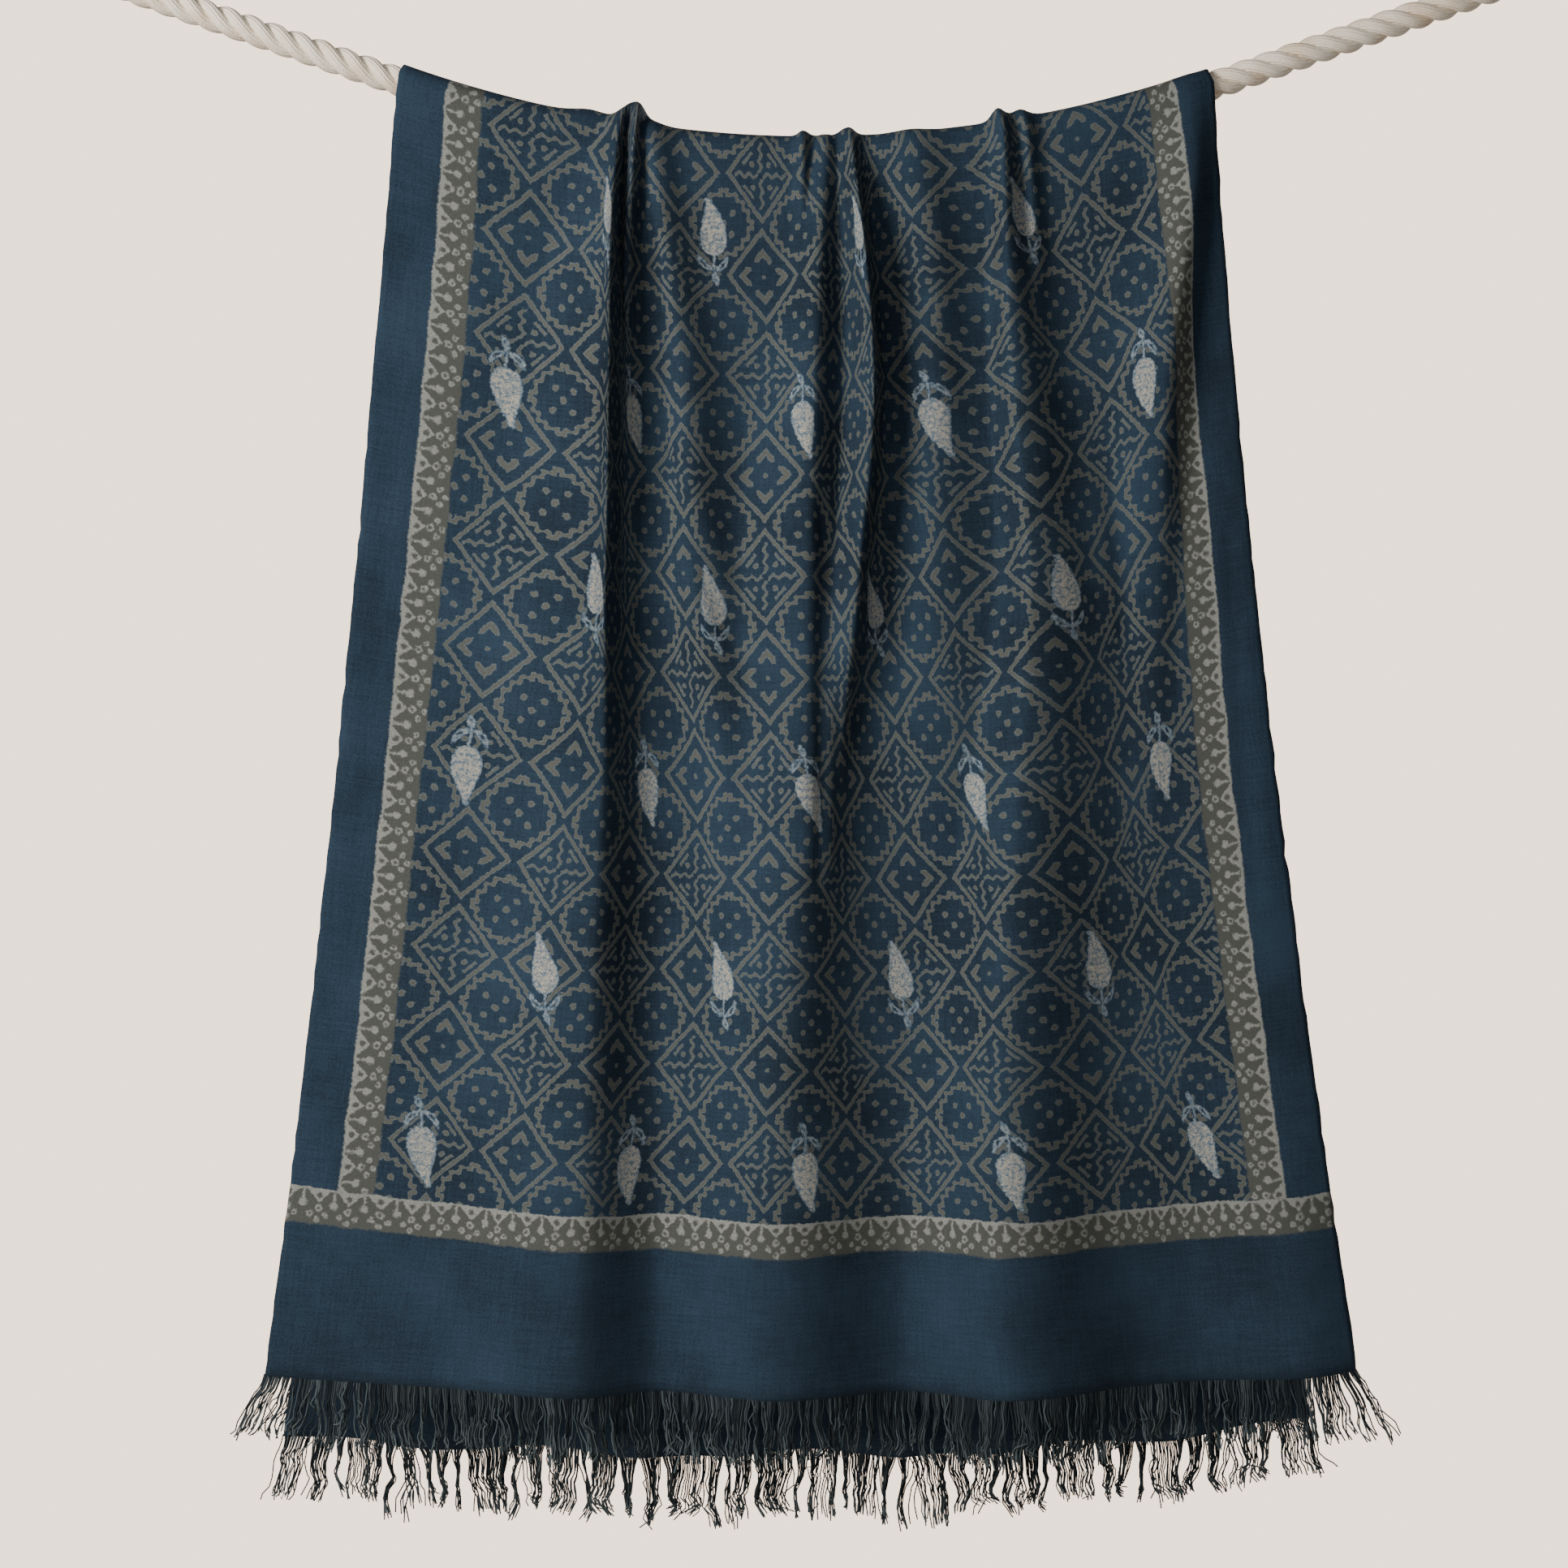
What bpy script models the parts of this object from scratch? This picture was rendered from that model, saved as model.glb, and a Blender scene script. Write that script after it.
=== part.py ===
"""Fringed cotton towel hung over a short three-strand rope with a spliced eye at each end.

Lengths are in millimetres up to the last step, which places every mesh in metres. The drape is laid
out about the rope's lowest point: x to the right, y towards the back, z up. The finished part has
its origin at the centre of the left eye.
"""

import math
from collections import namedtuple

import bmesh
import bpy
import numpy as np

MM = 0.001

ROPE_RADIUS = 9.0
ROPE_LAY = 46.0
ROPE_STRAND_RADIUS = 4.2
ROPE_RING_STEP = 4.6
ROPE_SECTION_CORNERS = 9
ROPE_BEND_HALF = 252.5
ROPE_SAG = 44.0
EYE_CENTRE_X = 495.0
EYE_HALF_LENGTH = 26.0
EYE_HALF_WIDTH = 20.5
EYE_TAPER = 0.22
EYE_LAY_TURNS = 10 / 3
EYE_RINGS = 36

CLOTH_THICKNESS = 1.5
CLOTH_CLEARANCE = 0.6
CLOTH_COLUMNS = 46
FRONT_ROWS = 15
BACK_ROWS = 10
ARC_STEPS = 8
FOLD_SHARPNESS = 3.0
# Columns gather where the cloth turns, and are averaged over a share of the drop above and below.
TURN_WEIGHT = 9.0
BLEND_SHARE = 0.06
BLEND_LEVELS = 7
ROW_CROWDING = 1.15
# Points along a section or a path when lengths along it are measured.
FINE_POINTS = 1600

# Each hem: its drop below the rope's lowest point, and how far its two ends rise.
Hem = namedtuple("Hem", "drop left_rise right_rise")
FRONT_HEM = Hem(757.0, 8.0, 12.0)
BACK_HEM = Hem(809.0, 14.0, 30.0)
HEM_HALF_WIDTH = 330.0
HEM_CURVE = 2.5

FRINGE_STRANDS = 92
FRINGE_STRIP_HEIGHT = 3.0
FRINGE_STRIP_THICKNESS = 1.2
FRINGE_GAP = 0.3
FRINGE_LENGTH = 38.0
FRINGE_LENGTH_SPREAD = 5.0

# Waves along the fringe that carry its strands: reach, radians from one root face to the next, start.
Wave = namedtuple("Wave", "reach rate start")
SWAY = (Wave(1.6, 0.37, 0.0), Wave(0.9, 0.83, 1.0))
BOW = (Wave(1.1, 0.51, 2.0),)
FLARE = (Wave(2.0, 0.29, 0.5),)
STRAY = 0.5
# The last strands at each corner lean outwards, each by a share of the one beyond it.
CORNER_LEAN = 14.0
CORNER_FADE = 0.55
# Each length of a strand: its end's share of the drop, of the sway, of the bow, and its end's size.
Length = namedtuple("Length", "share sway bow size")
STRAND_LENGTHS = (Length(0.45, -0.3, 1.0, 0.75), Length(1.0, 1.0, 0.0, 0.4))

# Fractions of the drop, from the rope to the hem, at which each fold is described.
STATIONS = (0.0, 0.08, 0.20, 0.36, 0.52, 0.72, 1.0)

# Each fold: x of its crest at the stations, how far the crest stands out there, and the widths of
# its left and right slopes at the rope, at the fourth station and at the hem.
Fold = namedtuple("Fold", "crest_x crest_depth left_width right_width")

FRONT_FOLDS = {
    "left_swell": Fold(
        crest_x=(-200, -205, -208, -212, -216, -222, -230),
        crest_depth=(2, 3, 4, 5, 6, 7, 9),
        left_width=(60, 70, 80),
        right_width=(55, 60, 70),
    ),
    "left_lip": Fold(
        crest_x=(-118, -122, -123, -125, -128, -137, -146),
        crest_depth=(12, 28, 31, 31, 29, 32, 34),
        left_width=(8, 60, 70),
        right_width=(4, 5, 40),
    ),
    "left_tuck": Fold(
        crest_x=(-108, -112, -114, -115, -115, -115, -115),
        crest_depth=(15, 12, 4, 0, 0, 0, 0),
        left_width=(4, 4, 4),
        right_width=(4, 5, 5),
    ),
    "soft_left": Fold(
        crest_x=(-99, -90, -79, -70, -50, -40, -40),
        crest_depth=(9, 12, 16, 17, 14, 2, 0),
        left_width=(5, 14, 20),
        right_width=(12, 26, 30),
    ),
    "centre_tuck": Fold(
        crest_x=(-6, -6, -5, -5, -5, -5, -5),
        crest_depth=(7, 4, 1, 0, 0, 0, 0),
        left_width=(4, 5, 5),
        right_width=(4, 5, 5),
    ),
    "centre": Fold(
        crest_x=(8, 4, 0, -5, -8, -18, -20),
        crest_depth=(6, 14, 21, 27, 31, 35, 36),
        left_width=(5, 32, 55),
        right_width=(6, 20, 55),
    ),
    "right_lip": Fold(
        crest_x=(24, 31, 37, 27, 14, 10, 10),
        crest_depth=(10, 31, 34, 27, 10, 0, 0),
        left_width=(6, 16, 20),
        right_width=(4, 5, 20),
    ),
    "soft_right": Fold(
        crest_x=(62, 70, 74, 76, 78, 80, 80),
        crest_depth=(8, 13, 13, 9, 4, 0, 0),
        left_width=(18, 20, 20),
        right_width=(16, 25, 25),
    ),
    "right_hump": Fold(
        crest_x=(116, 117, 122, 131, 125, 117, 121),
        crest_depth=(14, 22, 25, 31, 34, 39, 40),
        left_width=(4, 10, 45),
        right_width=(5, 42, 60),
    ),
    "right_tuck": Fold(
        crest_x=(130, 135, 138, 138, 138, 138, 138),
        crest_depth=(9, 8, 3, 0, 0, 0, 0),
        left_width=(4, 5, 5),
        right_width=(6, 10, 10),
    ),
    "border_ridge": Fold(
        crest_x=(232, 230, 216, 210, 205, 205, 205),
        crest_depth=(5, 18, 21, 9, 3, 0, 0),
        left_width=(20, 25, 25),
        right_width=(12, 13, 13),
    ),
    "corner_swell": Fold(
        crest_x=(235, 245, 255, 262, 272, 284, 298),
        crest_depth=(2, 2, 3, 5, 7, 10, 15),
        left_width=(20, 30, 38),
        right_width=(20, 30, 36),
    ),
}

BACK_FOLDS = {
    "left_swell": Fold(
        crest_x=(-205, -212, -222, -236, -250, -268, -290),
        crest_depth=(2, 8, 11, 13, 15, 17, 19),
        left_width=(25, 35, 40),
        right_width=(25, 35, 40),
    ),
    "left_hump": Fold(
        crest_x=(-116, -121, -128, -138, -147, -158, -170),
        crest_depth=(13, 20, 25, 27, 28, 30, 31),
        left_width=(6, 30, 45),
        right_width=(6, 26, 42),
    ),
    "soft_left": Fold(
        crest_x=(-62, -62, -64, -66, -68, -70, -72),
        crest_depth=(6, 10, 13, 14, 15, 15, 14),
        left_width=(18, 26, 30),
        right_width=(18, 26, 30),
    ),
    "centre": Fold(
        crest_x=(6, 2, -3, -7, -8, -5, 0),
        crest_depth=(7, 16, 23, 27, 29, 31, 33),
        left_width=(7, 28, 44),
        right_width=(7, 28, 44),
    ),
    "soft_right": Fold(
        crest_x=(62, 66, 70, 74, 77, 80, 84),
        crest_depth=(6, 10, 12, 13, 14, 15, 16),
        left_width=(18, 24, 28),
        right_width=(18, 24, 28),
    ),
    "right_hump": Fold(
        crest_x=(118, 124, 132, 141, 148, 156, 165),
        crest_depth=(13, 20, 25, 28, 30, 31, 32),
        left_width=(6, 30, 42),
        right_width=(6, 28, 40),
    ),
    "right_swell": Fold(
        crest_x=(212, 220, 230, 241, 250, 262, 275),
        crest_depth=(2, 8, 10, 12, 14, 16, 18),
        left_width=(25, 32, 36),
        right_width=(25, 32, 36),
    ),
}

# How far the cloth stands off the rope's surface line between the folds, at the stations.
GROUND = (0.0, -2.0, -3.0, -2.0, 0.0, 3.0, 6.0)

# Pleats that stand up over the rope.
Pleat = namedtuple("Pleat", "x height width")
PLEATS_OVER_ROPE = {
    "beside_left": Pleat(-138, 3.5, 14.0),
    "left": Pleat(-111.5, 13.0, 9.0),
    "centre_left": Pleat(-5, 3.0, 4.0),
    "centre_right": Pleat(22, 4.5, 6.0),
    "right": Pleat(117, 7.0, 6.0),
    "right_small": Pleat(130, 4.5, 7.0),
}

ROPE_COLOUR = (0.78, 0.72, 0.62, 1.0)
CLOTH_COLOUR = (0.012, 0.032, 0.065, 1.0)
FRINGE_COLOUR = (0.018, 0.028, 0.034, 1.0)


def rope_height(x):
    """Height of the rope's centre line: a parabola under the towel, straight beyond it."""
    slope = 2 * ROPE_SAG / ROPE_BEND_HALF
    bent = ROPE_SAG * (x / ROPE_BEND_HALF) ** 2
    straight = ROPE_SAG + slope * (np.abs(x) - ROPE_BEND_HALF)
    return np.where(np.abs(x) < ROPE_BEND_HALF, bent, straight)


def rope_slope(x):
    return 2 * ROPE_SAG / ROPE_BEND_HALF ** 2 * np.clip(x, -ROPE_BEND_HALF, ROPE_BEND_HALF)


def origin_shift():
    """The left eye's centre, which becomes the part's origin."""
    return np.array((-EYE_CENTRE_X, 0.0, float(rope_height(np.array(EYE_CENTRE_X)))))


def smooth_between(stations, values, at):
    """Values along a smooth curve through the stations."""
    place = np.clip(at, stations[0], stations[-1])
    k = np.clip(np.searchsorted(stations, place, side="right") - 1, 0, len(stations) - 2)
    stations = np.asarray(stations)
    values = np.asarray(values, float)
    rise = np.diff(values) / np.diff(stations)
    tangent = np.zeros(len(values))
    tangent[1:-1] = 0.5 * (rise[:-1] + rise[1:])
    tangent[0] = rise[0]
    tangent[-1] = rise[-1]
    width = stations[k + 1] - stations[k]
    s = (place - stations[k]) / width
    return (
        (2 * s ** 3 - 3 * s ** 2 + 1) * values[k]
        + (s ** 3 - 2 * s ** 2 + s) * width * tangent[k]
        + (-2 * s ** 3 + 3 * s ** 2) * values[k + 1]
        + (s ** 3 - s ** 2) * width * tangent[k + 1]
    )


def fold_depth(x, t, folds):
    """How far the cloth stands out from the rope's surface at x, a share t of the way down."""
    width_stations = (STATIONS[0], STATIONS[3], STATIONS[-1])
    total = np.zeros_like(x)
    for fold in folds.values():
        centre = smooth_between(STATIONS, fold.crest_x, t)
        depth = max(float(smooth_between(STATIONS, fold.crest_depth, t)), 0.0)
        left = np.interp(t, width_stations, fold.left_width)
        right = np.interp(t, width_stations, fold.right_width)
        reach = np.where(x < centre, left, right)
        total += (depth * np.exp(-((x - centre) / reach) ** 2)) ** FOLD_SHARPNESS
    return smooth_between(STATIONS, GROUND, t) + total ** (1 / FOLD_SHARPNESS)


def front_edges(t):
    return -254 - 66 * t - 14 * t ** 3, 246 + 52 * t + 34 * t ** 2


def back_edges(t):
    return -254 - 64 * t - 12 * t ** 3, 246 + 42 * t + 24 * t ** 2


def hem_height(x, hem):
    rise = np.where(x < 0, hem.left_rise, hem.right_rise)
    return -hem.drop + rise * (np.abs(x) / HEM_HALF_WIDTH) ** HEM_CURVE


def column_places(x, y):
    """Places for the columns along one section, closer together where the cloth turns."""
    step = np.hypot(np.diff(x), np.diff(y))
    heading = np.arctan2(np.diff(y), np.diff(x))
    turn = np.abs(np.gradient(heading))
    weight = np.concatenate(((0.0,), np.cumsum(step + TURN_WEIGHT * turn)))
    return np.interp(np.linspace(0, weight[-1], CLOTH_COLUMNS), weight, x)


def panel_columns(t, folds, edges):
    """Columns in x on one level, averaged with those of the levels near it for an even mesh."""
    places = []
    for level in np.clip(t + np.linspace(-BLEND_SHARE, BLEND_SHARE, BLEND_LEVELS), 0.0, 1.0):
        left, right = edges(t)
        fine = np.linspace(left, right, FINE_POINTS)
        places.append(column_places(fine, fold_depth(fine, level, folds)))
    return np.mean(places, axis=0)


def panel_rows(row_count, folds, edges, hem, side):
    """Rows of points down one panel, from just below the rope's side to the hem."""
    surface = ROPE_RADIUS + CLOTH_THICKNESS / 2 + CLOTH_CLEARANCE
    top_x = panel_columns(0.0, folds, edges)
    rows = []
    for k in range(1, row_count + 1):
        t = (k / row_count) ** ROW_CROWDING
        x = panel_columns(t, folds, edges)
        top = rope_height(top_x)
        z = top + t * (hem_height(x, hem) - top)
        y = side * (surface + fold_depth(x, t, folds))
        rows.append(np.stack((x, y, z), axis=1))
    return rows


def rows_over_rope():
    """Rows of points over the top of the rope, from its front to its back."""
    front_x = panel_columns(0.0, FRONT_FOLDS, front_edges)
    back_x = panel_columns(0.0, BACK_FOLDS, back_edges)
    surface = ROPE_RADIUS + CLOTH_THICKNESS / 2 + CLOTH_CLEARANCE
    rows = []
    for k in range(ARC_STEPS + 1):
        share = k / ARC_STEPS
        angle = math.pi * share
        x = front_x + (back_x - front_x) * share
        front_stand = fold_depth(x, 0.0, FRONT_FOLDS)
        back_stand = fold_depth(x, 0.0, BACK_FOLDS)
        pleats = PLEATS_OVER_ROPE.values()
        top_stand = sum(pleat.height * np.exp(-((x - pleat.x) / pleat.width) ** 2) for pleat in pleats)
        side_stand = np.where(share < 0.5, front_stand, back_stand)
        stand = side_stand * math.cos(angle) ** 2 + top_stand * math.sin(angle) ** 2
        radius = surface + stand
        tilt = np.arctan(rope_slope(x))
        up = radius * math.sin(angle)
        y = -radius * math.cos(angle)
        rows.append(np.stack((x - up * np.sin(tilt), y, rope_height(x) + up * np.cos(tilt)), axis=1))
    return rows


def add_object(name, mesh_data, colour, roughness):
    """Object from bmesh, moved to the part's origin and scaled to metres, with its own material."""
    mesh = bpy.data.meshes.new(name)
    mesh_data.to_mesh(mesh)
    mesh_data.free()
    shift = origin_shift()
    for vertex in mesh.vertices:
        vertex.co = [(vertex.co[axis] - shift[axis]) * MM for axis in range(3)]
    mesh.update()
    material = bpy.data.materials.new(name)
    material.use_nodes = True
    shader = material.node_tree.nodes["Principled BSDF"]
    shader.inputs["Base Color"].default_value = colour
    shader.inputs["Roughness"].default_value = roughness
    shader.inputs["Metallic"].default_value = 0.0
    material.diffuse_color = colour
    mesh.materials.append(material)
    finished = bpy.data.objects.new(name, mesh)
    bpy.context.scene.collection.objects.link(finished)
    return finished


def cloth():
    """The woven sheet, hem to hem, draped over the rope."""
    front = panel_rows(FRONT_ROWS, FRONT_FOLDS, front_edges, FRONT_HEM, -1)
    back = panel_rows(BACK_ROWS, BACK_FOLDS, back_edges, BACK_HEM, 1)
    rows = front[::-1] + rows_over_rope() + back
    work = bmesh.new()
    grid = [[work.verts.new(point) for point in row] for row in rows]
    for lower, upper in zip(grid, grid[1:]):
        for k in range(CLOTH_COLUMNS - 1):
            work.faces.new((lower[k], lower[k + 1], upper[k + 1], upper[k]))
    sheet = add_object("towel_cloth", work, CLOTH_COLOUR, 0.95)
    solidify = sheet.modifiers.new("woven thickness", "SOLIDIFY")
    solidify.thickness = CLOTH_THICKNESS * MM
    solidify.offset = 0.0
    solidify.use_quality_normals = True
    return front[-1], back[-1]


def hem_points(hem_row, count):
    """Evenly spaced points along a hem, from the cloth's last row."""
    step = np.linalg.norm(np.diff(hem_row[:, :2], axis=0), axis=1)
    along = np.concatenate(((0.0,), np.cumsum(step)))
    places = np.linspace(0, along[-1], count)
    return np.stack([np.interp(places, along, hem_row[:, axis]) for axis in range(3)], axis=1)


def fringe(name, hem_row, seed):
    """Strands hanging from a narrow strip just below the hem, each strand's root fused into it."""
    chance = np.random.default_rng(seed)
    points = hem_points(hem_row, 2 * FRINGE_STRANDS)
    ahead = np.gradient(points[:, :2], axis=0)
    ahead /= np.linalg.norm(ahead, axis=1)[:, None]
    outward = np.stack((-ahead[:, 1], ahead[:, 0]), axis=1) * FRINGE_STRIP_THICKNESS / 2
    top = points[:, 2] - FRINGE_GAP
    bottom = top - FRINGE_STRIP_HEIGHT
    work = bmesh.new()

    def rim(side, height):
        return [
            work.verts.new((*(points[k, :2] + side * outward[k]), height[k])) for k in range(len(points))
        ]

    back_top, front_top = rim(1, top), rim(-1, top)
    back_bottom, front_bottom = rim(1, bottom), rim(-1, bottom)
    last = len(points) - 1
    for k in range(last):
        work.faces.new((front_top[k], front_top[k + 1], back_top[k + 1], back_top[k]))
        work.faces.new((front_bottom[k], front_bottom[k + 1], front_top[k + 1], front_top[k]))
        work.faces.new((back_top[k], back_top[k + 1], back_bottom[k + 1], back_bottom[k]))
    work.faces.new((front_bottom[0], front_top[0], back_top[0], back_bottom[0]))
    work.faces.new((front_top[last], front_bottom[last], back_bottom[last], back_top[last]))
    for k in range(last):
        root = (back_bottom[k], back_bottom[k + 1], front_bottom[k + 1], front_bottom[k])
        face = work.faces.new(root)
        if k % 2 == 0:
            hang_strand(work, face, k, last, chance)
    work.normal_update()
    bmesh.ops.recalc_face_normals(work, faces=work.faces)
    add_object(name, work, FRINGE_COLOUR, 0.95)


def carried(waves, k):
    return sum(wave.reach * math.sin(wave.rate * k + wave.start) for wave in waves)


def corner_lean(k, last):
    """How far a strand leans outwards: most at the two corners, fading from strand to strand."""
    return CORNER_LEAN * (CORNER_FADE ** ((last - k) / 2) - CORNER_FADE ** (k / 2))


def hang_strand(work, face, k, last, chance):
    """Two lengths of strand below one root face, bent sideways and narrowing to the tip."""
    drop = FRINGE_LENGTH - FRINGE_STRIP_HEIGHT + FRINGE_LENGTH_SPREAD * chance.uniform(-1, 1)
    sway = carried(SWAY, k) + STRAY * chance.uniform(-1, 1)
    bow = carried(BOW, k)
    flare = carried(FLARE, k)
    done = 0.0
    for part in STRAND_LENGTHS:
        new = bmesh.ops.extrude_discrete_faces(work, faces=[face])["faces"][0]
        middle = new.calc_center_median()
        for vertex in new.verts:
            vertex.co = middle + (vertex.co - middle) * part.size
            vertex.co.x += part.sway * sway + part.bow * bow + (part.share - done) * corner_lean(k, last)
            vertex.co.y += flare * part.share
            vertex.co.z -= drop * (part.share - done)
        face = new
        done = part.share


def laid_section(angle):
    """Distance from the axis to the outside of three round strands laid together."""
    strand_path = ROPE_RADIUS - ROPE_STRAND_RADIUS
    lobe = (angle + math.pi / 3) % (2 * math.pi / 3) - math.pi / 3
    across = strand_path * math.sin(lobe)
    return strand_path * math.cos(lobe) + math.sqrt(ROPE_STRAND_RADIUS ** 2 - across ** 2)


def laid_tube(path, turns, closed):
    """Tube along a path in the plane of the rope, its lobed section turning like the rope's lay."""
    work = bmesh.new()
    corners = ROPE_SECTION_CORNERS
    count = len(path)
    loop_path = np.concatenate((path[-1:], path, path[:1])) if closed else path
    heading = np.gradient(loop_path, axis=0)
    heading = heading[1:-1] if closed else heading
    rings = []
    for k in range(count):
        along = heading[k] / np.linalg.norm(heading[k])
        side = np.array((along[1], -along[0]))
        twist = 2 * math.pi * turns * k / (count if closed else count - 1)
        ring = []
        for corner in range(corners):
            angle = 2 * math.pi * corner / corners
            reach = laid_section(angle)
            u = reach * math.cos(angle + twist)
            v = reach * math.sin(angle + twist)
            ring.append(work.verts.new((path[k, 0] + side[0] * u, v, path[k, 1] + side[1] * u)))
        rings.append(ring)
    shift = round(turns * 3) * corners // 3 % corners if closed else 0
    after_last = [rings[0][(corner + shift) % corners] for corner in range(corners)]
    next_rings = rings[1:] + ([after_last] if closed else [])
    for one, two in zip(rings, next_rings):
        for corner in range(corners):
            after = (corner + 1) % corners
            work.faces.new((one[corner], one[after], two[corner]))
            work.faces.new((one[after], two[after], two[corner]))
    if not closed:
        work.faces.new(rings[0])
        work.faces.new(rings[-1][::-1])
    bmesh.ops.recalc_face_normals(work, faces=work.faces)
    return work


def rope_path():
    """Centre line of the rope between its eyes, in x and z."""
    slope = 2 * ROPE_SAG / ROPE_BEND_HALF
    end_x = EYE_CENTRE_X - EYE_HALF_LENGTH * math.cos(math.atan(slope))
    fine_x = np.linspace(-end_x, end_x, FINE_POINTS)
    fine = np.stack((fine_x, rope_height(fine_x)), axis=1)
    along = np.concatenate(((0.0,), np.cumsum(np.linalg.norm(np.diff(fine, axis=0), axis=1))))
    count = round(along[-1] / ROPE_RING_STEP)
    places = np.linspace(0, along[-1], count)
    return np.stack([np.interp(places, along, fine[:, axis]) for axis in range(2)], axis=1), along[-1]


def eye_path(side):
    """Centre line of an eye: an oval that narrows towards the rope it is spliced into."""
    tilt = math.atan(2 * ROPE_SAG / ROPE_BEND_HALF)
    angle = np.linspace(0, 2 * math.pi, EYE_RINGS, endpoint=False)
    inward = EYE_HALF_LENGTH * np.cos(angle)
    across = EYE_HALF_WIDTH * np.sin(angle) * (1 - EYE_TAPER * np.cos(angle))
    x = -inward * math.cos(tilt) + across * math.sin(tilt)
    z = -inward * math.sin(tilt) - across * math.cos(tilt)
    centre_height = float(rope_height(np.array(EYE_CENTRE_X)))
    return np.stack((side * (EYE_CENTRE_X + x), centre_height + z), axis=1)


def rope():
    """The rope and its two eyes, joined into one body."""
    path, length = rope_path()
    body = add_object("rope", laid_tube(path, length / ROPE_LAY, False), ROPE_COLOUR, 0.9)
    for side in (-1, 1):
        eye_mesh = laid_tube(eye_path(side), EYE_LAY_TURNS, True)
        eye = add_object("rope_eye", eye_mesh, ROPE_COLOUR, 0.9)
        eye.hide_render = True
        eye.display_type = "WIRE"
        splice = body.modifiers.new("spliced eye", "BOOLEAN")
        splice.operation = "UNION"
        splice.solver = "EXACT"
        splice.object = eye


def clear_scene():
    for item in list(bpy.data.objects):
        bpy.data.objects.remove(item, do_unlink=True)


def build():
    clear_scene()
    front_hem, back_hem = cloth()
    fringe("front_fringe", front_hem, 11)
    fringe("back_fringe", back_hem, 23)
    rope()


build()
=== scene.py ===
import math
from functools import partial

import bpy
import numpy as np
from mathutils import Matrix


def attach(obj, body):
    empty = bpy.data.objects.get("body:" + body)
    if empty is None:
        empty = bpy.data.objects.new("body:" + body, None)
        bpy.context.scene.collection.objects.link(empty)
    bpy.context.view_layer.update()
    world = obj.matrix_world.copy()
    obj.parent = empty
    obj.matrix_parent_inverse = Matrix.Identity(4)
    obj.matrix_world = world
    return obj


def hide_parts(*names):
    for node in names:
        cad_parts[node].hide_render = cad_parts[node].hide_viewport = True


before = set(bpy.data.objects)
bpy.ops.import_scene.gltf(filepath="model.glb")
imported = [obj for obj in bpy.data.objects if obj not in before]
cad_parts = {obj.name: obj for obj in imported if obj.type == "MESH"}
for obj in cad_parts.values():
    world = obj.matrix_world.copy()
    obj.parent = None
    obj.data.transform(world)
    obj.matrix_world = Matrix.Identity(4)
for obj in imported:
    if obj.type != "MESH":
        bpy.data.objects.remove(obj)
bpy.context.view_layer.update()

print("towel: the packed solids are in")

mm = 0.001

# shared sizes, in mm, laid out about the rope's lowest point: x right, y back, z up
towel = dict(
    width=700.0,
    frontLength=790.0,
    turnLength=32.0,
    backLength=838.0,
    thickness=0.9,
    clearance=1.05,
)
towel["length"] = towel["frontLength"] + towel["turnLength"] + towel["backLength"]

rope = dict(
    radius=9.0,
    lay=46.0,
    strandRadius=4.25,
    strandSides=16,
    step=1.8,
    bendHalf=252.5,
    sag=44.0,
    eyeX=495.0,
    eyeHalfLength=26.0,
    eyeHalfWidth=20.5,
    eyeTaper=0.22,
    eyeTurns=10 / 3,
)


def hexColour(text):
    channels = [int(text[k:k + 2], 16) / 255 for k in (1, 3, 5)]
    linear = [c / 12.92 if c <= 0.04045 else ((c + 0.055) / 1.055) ** 2.4 for c in channels]
    return (*linear, 1.0)


def addNode(tree, kind, inputs=(), operation=None, output=0, **settings):
    # a kind in capitals is a maths node's operation, and one without "Node" in it is a shader node's
    if kind.isupper():
        kind, operation = "Math", kind
    node = tree.nodes.new(kind if "Node" in kind else "ShaderNode" + kind)
    if operation:
        node.operation = operation
    for name, value in settings.items():
        setattr(node, name, value)
    pairs = inputs.items() if isinstance(inputs, dict) else enumerate(inputs)
    for place, value in pairs:
        if isinstance(value, bpy.types.NodeSocket):
            tree.links.new(value, node.inputs[place])
        else:
            isColour = isinstance(value, str) and value.startswith("#")
            node.inputs[place].default_value = hexColour(value) if isColour else value
    return node.outputs[output]


# a mix of colours: its data type, and the place of its result
asColour = dict(output=2, data_type="RGBA")


def ropeHeight(x):
    slope = 2 * rope["sag"] / rope["bendHalf"]
    bent = rope["sag"] * (x / rope["bendHalf"]) ** 2
    straight = rope["sag"] + slope * (np.abs(x) - rope["bendHalf"])
    return np.where(np.abs(x) < rope["bendHalf"], bent, straight)


def ropeSlope(x):
    return 2 * rope["sag"] / rope["bendHalf"] ** 2 * np.clip(x, -rope["bendHalf"], rope["bendHalf"])


originShift = np.array((-rope["eyeX"], 0.0, float(ropeHeight(np.array(rope["eyeX"])))))


def toFrame(points):
    return (np.asarray(points, float) - originShift) * mm


# camera: square-on to the hanging towel, level, at the height of its middle
view = dict(distance=1.75, across=-17.0, height=-388.0, shownWidth=966.0, sensor=36.0)


def makeCamera():
    data = bpy.data.cameras.new("camera")
    data.sensor_width = view["sensor"]
    data.lens = view["sensor"] * view["distance"] / (view["shownWidth"] * mm)
    camera = bpy.data.objects.new("camera", data)
    x, y, z = toFrame((view["across"], 0.0, view["height"]))
    camera.location = (x, y - view["distance"], z)
    camera.rotation_euler = (math.radians(90), 0, 0)
    bpy.context.scene.collection.objects.link(camera)
    bpy.context.scene.camera = camera


makeCamera()

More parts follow.
